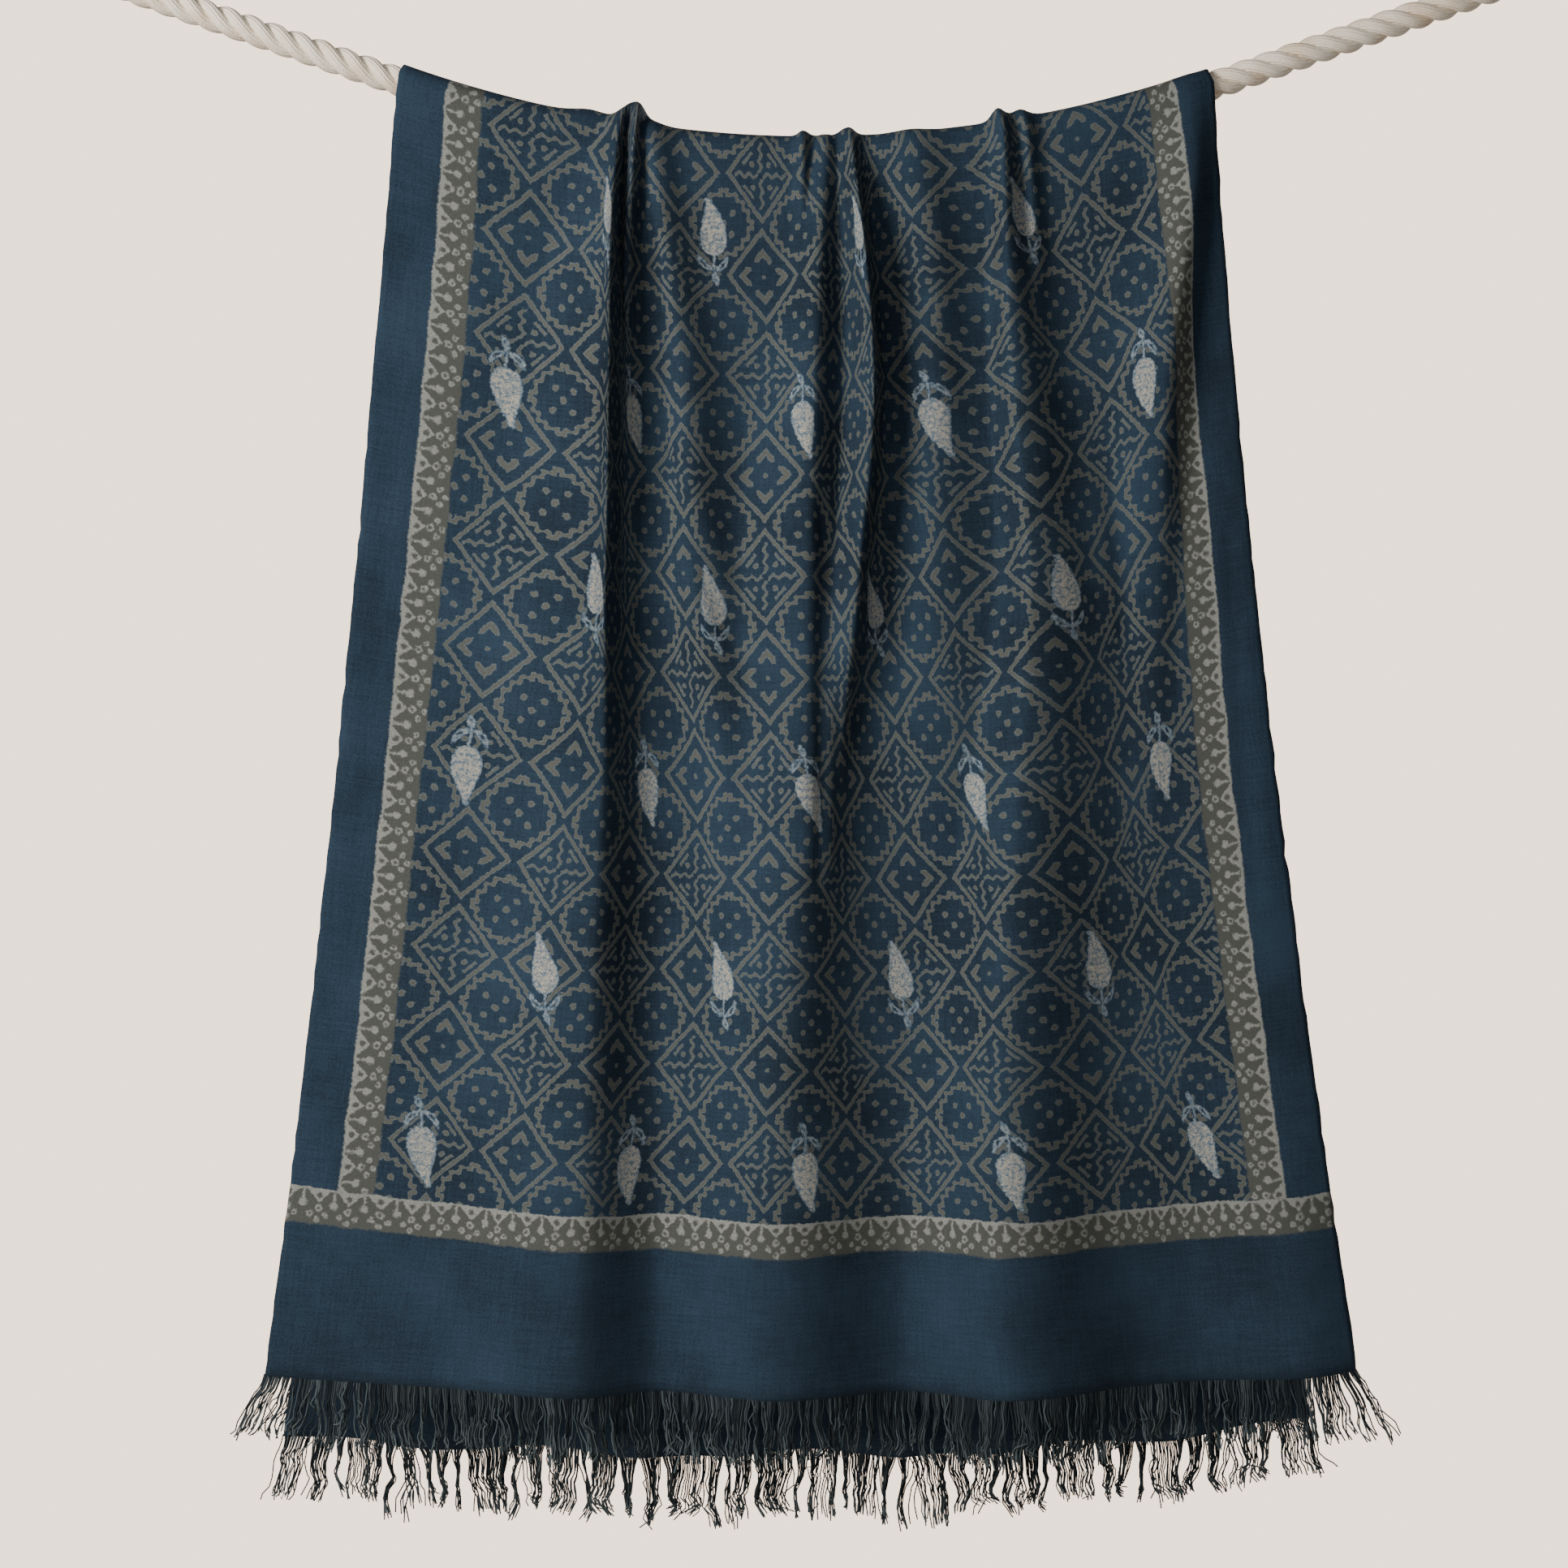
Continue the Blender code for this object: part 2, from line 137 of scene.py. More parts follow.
# the drape: shares of the drop at which each fold is described
stations = (0.0, 0.08, 0.20, 0.36, 0.52, 0.72, 1.0)

# each fold: crest x, how far it stands out, slope widths at the rope, fourth station and hem
frontFolds = dict(
    leftSwell=((-200, -205, -208, -212, -216, -222, -230), (2, 3, 4, 5, 6, 7, 9), (60, 70, 80), (55, 60, 70)),
    leftLip=((-118, -122, -123, -125, -128, -137, -146), (12, 28, 31, 31, 29, 32, 34), (8, 60, 70), (4, 5, 40)),
    leftTuck=((-108, -112, -114, -115, -115, -115, -115), (15, 12, 4, 0, 0, 0, 0), (4, 4, 4), (4, 5, 5)),
    softLeft=((-99, -90, -79, -70, -50, -40, -40), (9, 12, 16, 17, 14, 2, 0), (5, 14, 20), (12, 26, 30)),
    centreTuck=((-6, -6, -5, -5, -5, -5, -5), (7, 4, 1, 0, 0, 0, 0), (4, 5, 5), (4, 5, 5)),
    centre=((8, 4, 0, -5, -8, -18, -20), (6, 14, 21, 27, 31, 35, 36), (5, 32, 55), (6, 20, 55)),
    rightLip=((24, 31, 37, 27, 14, 10, 10), (10, 31, 34, 27, 10, 0, 0), (6, 16, 20), (4, 5, 20)),
    softRight=((62, 70, 74, 76, 78, 80, 80), (8, 13, 13, 9, 4, 0, 0), (18, 20, 20), (16, 25, 25)),
    rightHump=((116, 117, 122, 131, 125, 117, 121), (14, 22, 25, 31, 34, 39, 40), (4, 10, 45), (5, 42, 60)),
    rightTuck=((130, 135, 138, 138, 138, 138, 138), (9, 8, 3, 0, 0, 0, 0), (4, 5, 5), (6, 10, 10)),
    borderRidge=((232, 230, 216, 210, 205, 205, 205), (5, 18, 21, 9, 3, 0, 0), (20, 25, 25), (12, 13, 13)),
    cornerSwell=((235, 245, 255, 262, 272, 284, 298), (2, 2, 3, 5, 7, 10, 15), (20, 30, 38), (20, 30, 36)),
)

backFolds = dict(
    leftSwell=((-205, -212, -222, -236, -250, -268, -290), (2, 8, 11, 13, 15, 17, 19), (25, 35, 40), (25, 35, 40)),
    leftHump=((-116, -121, -128, -138, -147, -158, -170), (13, 20, 25, 27, 28, 30, 31), (6, 30, 45), (6, 26, 42)),
    softLeft=((-62, -62, -64, -66, -68, -70, -72), (6, 10, 13, 14, 15, 15, 14), (18, 26, 30), (18, 26, 30)),
    centre=((6, 2, -3, -7, -8, -5, 0), (7, 16, 23, 27, 29, 31, 33), (7, 28, 44), (7, 28, 44)),
    softRight=((62, 66, 70, 74, 77, 80, 84), (6, 10, 12, 13, 14, 15, 16), (18, 24, 28), (18, 24, 28)),
    rightHump=((118, 124, 132, 141, 148, 156, 165), (13, 20, 25, 28, 30, 31, 32), (6, 30, 42), (6, 28, 40)),
    rightSwell=((212, 220, 230, 241, 250, 262, 275), (2, 8, 10, 12, 14, 16, 18), (25, 32, 36), (25, 32, 36)),
)

# where the cloth stands between folds, at the stations
ground = (0.0, -2.0, -3.0, -2.0, 0.0, 3.0, 6.0)

# folds that meet are blended by the root of their summed powers
foldSharpness = 3

# pleats that stand up over the rope: x, height above the rope, width
pleatsOverRope = dict(
    besideLeft=(-138, 3.5, 14.0),
    left=(-111.5, 13.0, 9.0),
    centreLeft=(-5, 3.0, 4.0),
    centreRight=(22, 4.5, 6.0),
    right=(117, 7.0, 6.0),
    rightSmall=(130, 4.5, 7.0),
)

# where threads at these distances from the left selvedge lie across the front, at the stations
threadLines = {
    77: (-177, -180, -187, -200, -213, -229, -254),
    135: (-119, -122, -124, -131, -150, -172, -198),
    214: (-108, -110, -111, -106, -100, -106, -124),
    280: (-56, -56, -58, -58, -54, -52, -60),
    337: (-12, -9, -6, -3, 0, -3, -8),
    414: (25, 29, 32, 37, 46, 58, 66),
    489: (64, 68, 77, 90, 102, 115, 132),
    550: (124, 131, 142, 157, 167, 180, 196),
    621: (186, 190, 201, 207, 212, 229, 255),
}

# soft creases pressed in by hand: start and end as (from left selvedge, up from hem), depth, width
creases = dict(
    tuckSlant=((228, 610), (292, 470), 1.6, 7.0),
    tuckSlantLow=((300, 455), (318, 380), 0.9, 6.0),
    besideBorder=((598, 640), (600, 470), 1.4, 9.0),
    lowLeft=((60, 70), (180, 48), 0.8, 9.0),
    lowMiddle=((300, 60), (352, 22), 0.8, 7.0),
    lowRight=((520, 66), (640, 40), 0.9, 9.0),
    stripLeft=((16, 560), (22, 250), 0.7, 6.0),
    stripRight=((684, 520), (676, 300), 0.9, 6.0),
    centreFall=((352, 560), (344, 330), 1.2, 6.0),
    shoulder=((470, 700), (505, 640), 1.0, 8.0),
)


def smoothBetween(places, values, at):
    at = np.clip(at, places[0], places[-1])
    k = np.clip(np.searchsorted(places, at, side="right") - 1, 0, len(places) - 2)
    places = np.asarray(places)
    values = np.asarray(values, float)
    rise = np.diff(values) / np.diff(places)
    tangent = np.concatenate((rise[:1], 0.5 * (rise[:-1] + rise[1:]), rise[-1:]))
    width = places[k + 1] - places[k]
    s = (at - places[k]) / width
    return (
        (2 * s ** 3 - 3 * s ** 2 + 1) * values[k]
        + (s ** 3 - 2 * s ** 2 + s) * width * tangent[k]
        + (-2 * s ** 3 + 3 * s ** 2) * values[k + 1]
        + (s ** 3 - s ** 2) * width * tangent[k + 1]
    )


def foldDepth(x, t, folds):
    widthStations = (stations[0], stations[3], stations[-1])
    total = np.zeros_like(x)
    for crestX, crestDepth, leftWidth, rightWidth in folds.values():
        middle = smoothBetween(stations, crestX, t)
        depth = max(float(smoothBetween(stations, crestDepth, t)), 0.0)
        left = np.interp(t, widthStations, leftWidth)
        right = np.interp(t, widthStations, rightWidth)
        reach = np.where(x < middle, left, right)
        total += (depth * np.exp(-((x - middle) / reach) ** 2)) ** foldSharpness
    return smoothBetween(stations, ground, t) + total ** (1 / foldSharpness)


def frontEdges(t):
    return -254 - 66 * t - 14 * t ** 3, 246 + 52 * t + 34 * t ** 2


def backEdges(t):
    return -254 - 64 * t - 12 * t ** 3, 246 + 42 * t + 24 * t ** 2


# how a hem rises from its middle to its ends
hemCurve = dict(halfWidth=330, power=2.5)


def hemHeight(x, drop, leftRise, rightRise):
    return -drop + np.where(x < 0, leftRise, rightRise) * (np.abs(x) / hemCurve["halfWidth"]) ** hemCurve["power"]


# each hem: drop below the rope's lowest point, rise at its left and right ends
hems = dict(front=(757.0, 8.0, 12.0), back=(809.0, 14.0, 30.0))


def threadPlaces(t, folds, edges, threads, followFront):
    # x of each thread on one level: lengths along the section are shared out between known threads
    left, right = edges(t)
    x = np.linspace(left, right, 2400)
    depth = foldDepth(x, t, folds)
    along = np.concatenate(((0.0,), np.cumsum(np.hypot(np.diff(x), np.diff(depth)))))
    known = [0.0, *threadLines, towel["width"]]
    level = t if followFront else 0.0
    frontX = [left, *(float(smoothBetween(stations, line, level)) for line in threadLines.values()), right]
    frontAlong = np.interp(frontX, x, along)
    if not followFront:
        even = along[-1] * np.array(known) / towel["width"]
        fade = min(t / 0.35, 1.0)
        fade = fade * fade * (3 - 2 * fade)
        frontAlong = frontAlong * (1 - fade) + even * fade
    fine = np.interp(along, frontAlong, known)
    window = 61  # of the section's points, to smooth the threads' spacing
    padded = np.pad(fine, window // 2, mode="reflect", reflect_type="odd")
    fine = np.convolve(padded, np.ones(window) / window, mode="valid")
    fine[0], fine[-1] = 0.0, towel["width"]
    return np.interp(threads, fine, x)


# threads lie closer together where the deep pleats are: place, width, by how much
gathers = ((180, 45, 1.6), (375, 60, 1.1), (520, 35, 0.8))


def threadSpacing(count):
    place = np.linspace(0, towel["width"], 1401)
    density = 1
    for middle, width, more in gathers:
        density = density + more * np.exp(-((place - middle) / width) ** 2)
    total = np.concatenate(((0.0,), np.cumsum(0.5 * (density[1:] + density[:-1]))))
    return np.interp(np.linspace(0, total[-1], count), total, place)


clothGrid = dict(columns=250, frontRows=94, turnRows=12, backRows=78, bunching=1.1)

# each panel: its folds, its edges, and the side of the rope that it hangs on
panels = dict(front=(frontFolds, frontEdges, -1), back=(backFolds, backEdges, 1))


def panelRow(name, level, topX, threads, surface):
    # one row of points across a panel, and its share of the drop
    folds, edges, side = panels[name]
    t = level ** clothGrid["bunching"]
    x = threadPlaces(t, folds, edges, threads, name == "front")
    top = ropeHeight(topX)
    z = top + t * (hemHeight(x, *hems[name]) - top)
    return np.stack((x, side * (surface + foldDepth(x, t, folds)), z), axis=1), t


def drapedGrid():
    threads = threadSpacing(clothGrid["columns"])
    surface = rope["radius"] + towel["thickness"] / 2 + towel["clearance"]
    frontTop = threadPlaces(0.0, frontFolds, frontEdges, threads, True)
    backTop = threadPlaces(0.0, backFolds, backEdges, threads, False)
    rows, lengths = [], []
    for k in range(clothGrid["frontRows"], 0, -1):
        row, t = panelRow("front", k / clothGrid["frontRows"], frontTop, threads, surface)
        rows.append(row)
        lengths.append((1 - t) * towel["frontLength"])
    for k in range(clothGrid["turnRows"] + 1):
        share = k / clothGrid["turnRows"]
        angle = math.pi * share
        x = frontTop + (backTop - frontTop) * share
        sideStand = foldDepth(x, 0.0, frontFolds if share < 0.5 else backFolds)
        topStand = sum(high * np.exp(-((x - at) / wide) ** 2) for at, high, wide in pleatsOverRope.values())
        radius = surface + sideStand * math.cos(angle) ** 2 + topStand * math.sin(angle) ** 2
        tilt = np.arctan(ropeSlope(x))
        up = radius * math.sin(angle)
        z = ropeHeight(x) + up * np.cos(tilt)
        rows.append(np.stack((x - up * np.sin(tilt), -radius * math.cos(angle), z), axis=1))
        lengths.append(towel["frontLength"] + share * towel["turnLength"])
    for k in range(1, clothGrid["backRows"] + 1):
        row, t = panelRow("back", k / clothGrid["backRows"], backTop, threads, surface)
        rows.append(row)
        lengths.append(towel["frontLength"] + towel["turnLength"] + t * towel["backLength"])
    return np.array(rows), threads, np.array(lengths)


def frayedEdges(grid, threads):
    # the selvedges aren't quite straight: they move in and out by a few tenths of a millimetre
    chance = np.random.default_rng(5)
    moved = grid.copy()
    for nearness, way in ((np.exp(-threads / 3.5), 1.0), (np.exp(-(towel["width"] - threads) / 3.5), -1.0)):
        shift = chance.normal(0.0, 0.5, len(grid))
        moved[:, :, 0] += way * np.abs(shift)[:, None] * nearness[None, :]
    return moved


def gridNormals(grid):
    along = np.gradient(grid, axis=0)
    across = np.gradient(grid, axis=1)
    normal = np.cross(across, along)
    return normal / np.linalg.norm(normal, axis=2, keepdims=True)


def pressCreases(grid, threads, lengths):
    # troughs along short lines in the cloth's own sizes, and a slight overall unevenness
    across, up = np.meshgrid(threads, lengths)
    sink = np.zeros_like(across)
    for (x0, y0), (x1, y1), depth, width in creases.values():
        dx, dy = x1 - x0, y1 - y0
        share = ((across - x0) * dx + (up - y0) * dy) / (dx * dx + dy * dy)
        off = np.hypot(across - x0 - np.clip(share, 0, 1) * dx, up - y0 - np.clip(share, 0, 1) * dy)
        ends = np.clip(4 * np.minimum(share + 0.25, 1.25 - share), 0, 1)
        sink += depth * ends * (np.exp(-(off / width) ** 2) - 0.45 * np.exp(-((off - 1.7 * width) / width) ** 2))
    unevenness = 0.55 * np.sin(across / 21 + 1.7 * np.sin(up / 83)) * np.sin(up / 47 + 0.8)
    unevenness += 0.35 * np.sin(across / 9.5 + up / 60) * np.sin(up / 29 + across / 71)
    settle = np.clip(np.minimum(lengths / 60, np.abs(lengths - towel["frontLength"]) / 90), 0, 1)[:, None]
    return grid + gridNormals(grid) * ((unevenness - sink) * settle)[:, :, None]


def meshObject(name, points, faces):
    mesh = bpy.data.meshes.new(name)
    mesh.from_pydata([tuple(p) for p in points], [], faces)
    mesh.update()
    piece = bpy.data.objects.new(name, mesh)
    bpy.context.scene.collection.objects.link(piece)
    return piece


# cotton, handwoven and dyed in an indigo vat: dull, deep blue, with slightly uneven threads;
# the print is a resist block print, so its lines are grey and worn at their edges
cottonLook = dict(
    indigo="#293d51",
    indigoDeep="#192736",
    printLine="#5b5e59",
    printEdge="#667173",
    borderGrey="#4c514f",
    borderPale="#8e9493",
    mango="#b8b6aa",
    mangoEdge="#8b99a2",
    mangoCrackle="#4c6a84",
    roughness=0.92,
    threadPitch=1.1,  # real threads are 0.5 mm apart, too fine to show, so they are drawn twice as coarse
)

# share of a sum of two distances that is measured straight across a slant
slantShare = 0.707

# the printed shapes, in mm: a line is (middle, half its width, slant's share), and a dot (x, y, radius, stretch),
# with its x left out where that is 0
starShape = dict(wave=0.85, armHalf=1.15, armReach=(11.2, 9.2), dash=(20.2, 1.0), dashHalf=4.9, dot=(6.8, 7.0, 1.8))
arrowShape = dict(slope=1.1, line=(15.0, 1.85, 0.68), near=5.6, far=(13.3, 4.9), dot=1.4)
roundShape = dict(step=1.5, stepMost=1.1, lineShare=1.15, middleDot=2.2, dot=(6.2, 6.6, 2.05))
mangoShape = dict(
    half=18.5, width=14.9, roundness=3.0, taper=0.85, bend=6.0, bendPower=2.6, tipAt=-16.4, tipRadius=2.1, lean=0.26
)
stemShape = dict(foot=24.0, curl=0.13, half=0.85, reach=(25.0, 8.5), loop=(33.0, 2.3, 0.6), loopLine=-0.8)
leafShape = dict(side=5.9, rise=24.2, arch=0.035, dot=(0.6, 6.6, 3.3), thinness=0.35, line=(-0.72, 0.78))

# the border's teeth, drops on stalks, and dots as (share of the pitch, y, radius)
borderShape = dict(
    toothSlope=1.05, tooth=9.0, fleckAt=4.2, fleck=1.7, rim=1.6, drop=(9.8, 2.4), stalkHalf=0.8, stalk=(5.2, 3.6),
    dots=((0.0, 12.2, 2.3), (0.25, 16.2, 1.8), (0.0, 19.4, 1.8)), ring=1.35
)

# how far noise eats into each edge of the print, in mm
raggedness = dict(lattice=2.6, pale=4.5, band=2.0, mango=2.4)

# the middle mango of the full rows was set to the left of its place
slip = dict(at=337.0, reach=55.0, by=12.0)

# the print's layout, in mm, in the cloth's own plane
block = dict(
    stripWidth=30.0,
    borderWidth=22.0,
    endPanel=88.5,
    endBorder=22.0,
    pitchAcross=57.0,
    pitchUp=62.8,
    firstAcross=83.0,
    firstUp=144.5,
    outline=26.5,
    outlineAcross=1.06,
    outlineUp=0.946,
    lineHalf=1.35,
    scallopReach=20.0,
    scallopPitch=10.0,
    roundness=1.65,
    borderPitch=18.8,
    mangoPitchAcross=136.0,
    mangoPitchUp=118.2,
    mangoFirstAcross=77.0,
    mangoFirstUp=142.0,
    mangoRaise=12.0,
    mangoStagger=64.0,
)


# how blocks set down by hand wander, and how their edges do: noise scale, detail, reach in mm
wanders = ((0.035, 1.0, 3.6), (0.45, 2.0, 2.2))


def clothCoordinates(add):
    # the piece's own map, in mm, as it is and with the print's wander
    flat = add("UVMap", uv_map="clothMap")
    size = (towel["width"], towel["length"], 0)
    place = add("VectorMath", (flat, size), "MULTIPLY")
    moved = place
    for scale, detail, reach in wanders:
        wander = add("TexNoise", {"Vector": place, "Scale": scale, "Detail": detail}, output=1)
        wander = add("VectorMath", (wander, (0.5, 0.5, 0.5)), "SUBTRACT")
        wander = add("VectorMath", (wander, (reach, reach, 0)), "MULTIPLY")
        moved = add("VectorMath", (moved, wander), "ADD")
    return place, moved


def foldedCell(add, along, first, pitch):
    # distance from the nearest repeat, signed, and the repeat's number
    cells = add("SUBTRACT", (along, first))
    cells = add("DIVIDE", (cells, pitch))
    number = add("ROUND", (cells,))
    off = add("SUBTRACT", (cells, number))
    return add("MULTIPLY", (off, pitch)), number


def lineAt(add, value, at, half, scale=1.0):
    # below zero within half of the line at that value
    off = add("SUBTRACT", (value, at))
    off = add("ABSOLUTE", (off,))
    return add("MULTIPLY_ADD", (off, scale, -half))


def dotAt(add, x, y, atX, atY, radius, stretch=1.0):
    offX = add("SUBTRACT", (x, atX))
    offY = add("SUBTRACT", (y, atY))
    offY = add("MULTIPLY", (offY, stretch))
    off = add("CombineXYZ", (offX, offY, 0.0))
    off = add("VectorMath", (off,), "LENGTH", output=1)
    return add("SUBTRACT", (off, radius))


def merged(add, operation, shapes):
    result = shapes[0]
    for shape in shapes[1:]:
        result = add(operation, (result, shape))
    return result


def joined(add, *shapes):
    return merged(add, "MINIMUM", shapes)


def overlap(add, *shapes):
    return merged(add, "MAXIMUM", shapes)


def loweredRows(add, u, v):
    # the rows were printed lower across the middle of the cloth than beside its selvedges
    low = add("MapRange", (u, 75.0, 165.0, 0.0, 6.0), interpolation_type="SMOOTHSTEP")
    high = add("MapRange", (u, 500.0, 620.0, 0.0, 7.0), interpolation_type="SMOOTHSTEP")
    lowered = add("ADD", (v, low))
    return add("SUBTRACT", (lowered, high))


def blockRows(add, v):
    # rows are 64 mm apart in the upper part of the cloth, and 60 mm near its hem
    upper = add("MULTIPLY_ADD", (v, 0.978, 10.6))
    lower = add("MULTIPLY_ADD", (v, 1.051, -14.6))
    return joined(add, upper, lower)


def latticePrint(add, u, v):
    # squares on their points in rows, with a scalloped round in each gap between them
    x, column = foldedCell(add, u, block["firstAcross"], block["pitchAcross"])
    y, row = foldedCell(add, v, block["firstUp"], block["pitchUp"])
    ax = add("ABSOLUTE", (x,))
    ay = add("ABSOLUTE", (y,))
    around = add("MULTIPLY", (ay, block["outlineUp"]))
    around = add("MULTIPLY_ADD", (ax, block["outlineAcross"], around))
    outline = lineAt(add, around, block["outline"], block["lineHalf"], slantShare)

    # star squares: a wavy cross, and a dash and a dot in each quarter
    arms = []
    for along, across, reach in ((x, y, ax), (y, x, ay)):
        wave = add("MULTIPLY", (along, starShape["wave"]))
        wave = add("SINE", (wave,))
        arm = add("MULTIPLY_ADD", (wave, 1.0, across))
        arm = (lineAt(add, arm, 0.0, starShape["armHalf"]), lineAt(add, reach, *starShape["armReach"]))
        arms.append(overlap(add, *arm))
    slant = add("SUBTRACT", (ax, ay))
    dash = lineAt(add, around, *starShape["dash"], slantShare)
    dash = overlap(add, dash, lineAt(add, slant, 0.0, starShape["dashHalf"], slantShare))
    star = joined(add, *arms, dash, dotAt(add, ax, ay, *starShape["dot"]))

    # arrow squares: four thick arrowheads pointing outwards round a dot
    far = overlap(add, ax, ay)
    near = joined(add, ax, ay)
    head = add("MULTIPLY_ADD", (near, arrowShape["slope"], far))
    nearLimit = lineAt(add, near, 0.0, arrowShape["near"])
    farLimit = lineAt(add, far, *arrowShape["far"])
    head = overlap(add, lineAt(add, head, *arrowShape["line"]), nearLimit, farLimit)
    arrows = joined(add, head, dotAt(add, ax, ay, 0.0, 0.0, arrowShape["dot"]))

    parity = add("ADD", (column, row))
    parity = add("FLOORED_MODULO", (parity, 2.0))
    squares = add("Mix", {0: parity, 2: star, 3: arrows})

    # scalloped rounds: wavy sides and five dots
    gx = add("SUBTRACT", (block["pitchAcross"] / 2, ax))
    gy = add("SUBTRACT", (block["pitchUp"] / 2, ay))
    roundX = add("POWER", (gx, block["roundness"]))
    roundY = add("POWER", (gy, block["roundness"]))
    reach = add("ADD", (roundX, roundY))
    reach = add("POWER", (reach, 1 / block["roundness"]))
    along = add("SUBTRACT", (gx, gy))
    along = add("MULTIPLY", (along, 2 * math.pi / block["scallopPitch"]))
    step = add("COSINE", (along,))
    step = add("MULTIPLY", (step, roundShape["step"]))
    step = joined(add, step, roundShape["stepMost"])
    step = overlap(add, step, -roundShape["stepMost"])
    edge = add("SUBTRACT", (reach, step))
    scallop = lineAt(add, edge, block["scallopReach"], roundShape["lineShare"] * block["lineHalf"])
    middleDot = dotAt(add, gx, gy, 0.0, 0.0, roundShape["middleDot"])
    dots = joined(add, middleDot, dotAt(add, gx, gy, *roundShape["dot"]))
    return joined(add, outline, squares, scallop, dots)


def mangoPrint(add, u, v):
    # rows of mangoes on stems, every other row upside down and set half a step along
    up, row = foldedCell(add, v, block["mangoFirstUp"], block["mangoPitchUp"])
    odd = add("FLOORED_MODULO", (row, 2.0))
    flip = add("MULTIPLY_ADD", (odd, -2.0, 1.0))
    up = add("MULTIPLY_ADD", (odd, -block["mangoRaise"], up))
    bump = add("SUBTRACT", (u, slip["at"]))
    bump = add("DIVIDE", (bump, slip["reach"]))
    bump = add("MULTIPLY", (bump, bump))
    bump = add("MULTIPLY", (bump, -1.0))
    bump = add("EXPONENT", (bump,))
    even = add("MULTIPLY_ADD", (odd, -slip["by"], slip["by"]))
    placed = add("MULTIPLY_ADD", (bump, even, u))
    placed = add("MULTIPLY_ADD", (odd, -block["mangoStagger"], placed))
    across, column = foldedCell(add, placed, block["mangoFirstAcross"], block["mangoPitchAcross"])
    x = add("MULTIPLY", (across, flip))
    y = add("MULTIPLY", (up, flip))
    which = add("CombineXYZ", (row, column, 0.0))
    lean = add("TexWhiteNoise", {"Vector": which}, noise_dimensions="2D")
    lean = add("MULTIPLY_ADD", (lean, mangoShape["lean"], -mangoShape["lean"] / 2))
    x = add("MULTIPLY_ADD", (lean, y, x))

    # body: round at the stem, narrowing to a tip bent to one side
    t = add("ADD", (y, mangoShape["half"]))
    t = add("DIVIDE", (t, 2 * mangoShape["half"]), use_clamp=True)
    rounded = add("POWER", (t, mangoShape["roundness"]))
    wide = add("SUBTRACT", (1.0, rounded))
    wide = add("SQRT", (wide,))
    taper = add("POWER", (t, mangoShape["taper"]))
    wide = add("MULTIPLY", (wide, taper))
    bend = add("SUBTRACT", (1.0, t))
    bend = add("POWER", (bend, mangoShape["bendPower"]))
    bend = add("MULTIPLY_ADD", (bend, -mangoShape["bend"], x))
    tip = dotAt(add, bend, y, 0.0, mangoShape["tipAt"], mangoShape["tipRadius"])
    bend = add("ABSOLUTE", (bend,))
    body = add("MULTIPLY_ADD", (wide, -mangoShape["width"], bend))
    body = overlap(add, body, lineAt(add, y, 0.0, mangoShape["half"]))
    body = joined(add, body, tip)

    # stem ending in a small loop, and two thin leaves drooping towards the body
    curl = add("ADD", (y, -stemShape["foot"]))
    curl = add("MULTIPLY", (curl, stemShape["curl"]))
    curl = add("POWER", (curl, 2.0))
    curl = add("ADD", (x, curl))
    stem = overlap(add, lineAt(add, curl, 0.0, stemShape["half"]), lineAt(add, y, *stemShape["reach"]))
    loop = dotAt(add, curl, y, 0.0, *stemShape["loop"])
    loop = lineAt(add, loop, stemShape["loopLine"], stemShape["half"])
    side = add("ABSOLUTE", (x,))
    side = add("SUBTRACT", (side, leafShape["side"]))
    rise = add("SUBTRACT", (y, leafShape["rise"]))
    leafAlong = add("SUBTRACT", (side, rise))
    leafAlong = add("MULTIPLY", (leafAlong, slantShare))
    leafAcross = add("ADD", (side, rise))
    leafAcross = add("MULTIPLY", (leafAcross, slantShare))
    arch = add("MULTIPLY", (leafAlong, leafAlong))
    leafAcross = add("MULTIPLY_ADD", (arch, leafShape["arch"], leafAcross))
    leaf = dotAt(add, leafAlong, leafAcross, 0.0, *leafShape["dot"])
    leaf = add("MULTIPLY", (leaf, leafShape["thinness"]))
    leaf = lineAt(add, leaf, *leafShape["line"])
    return joined(add, body, stem, loop, leaf)


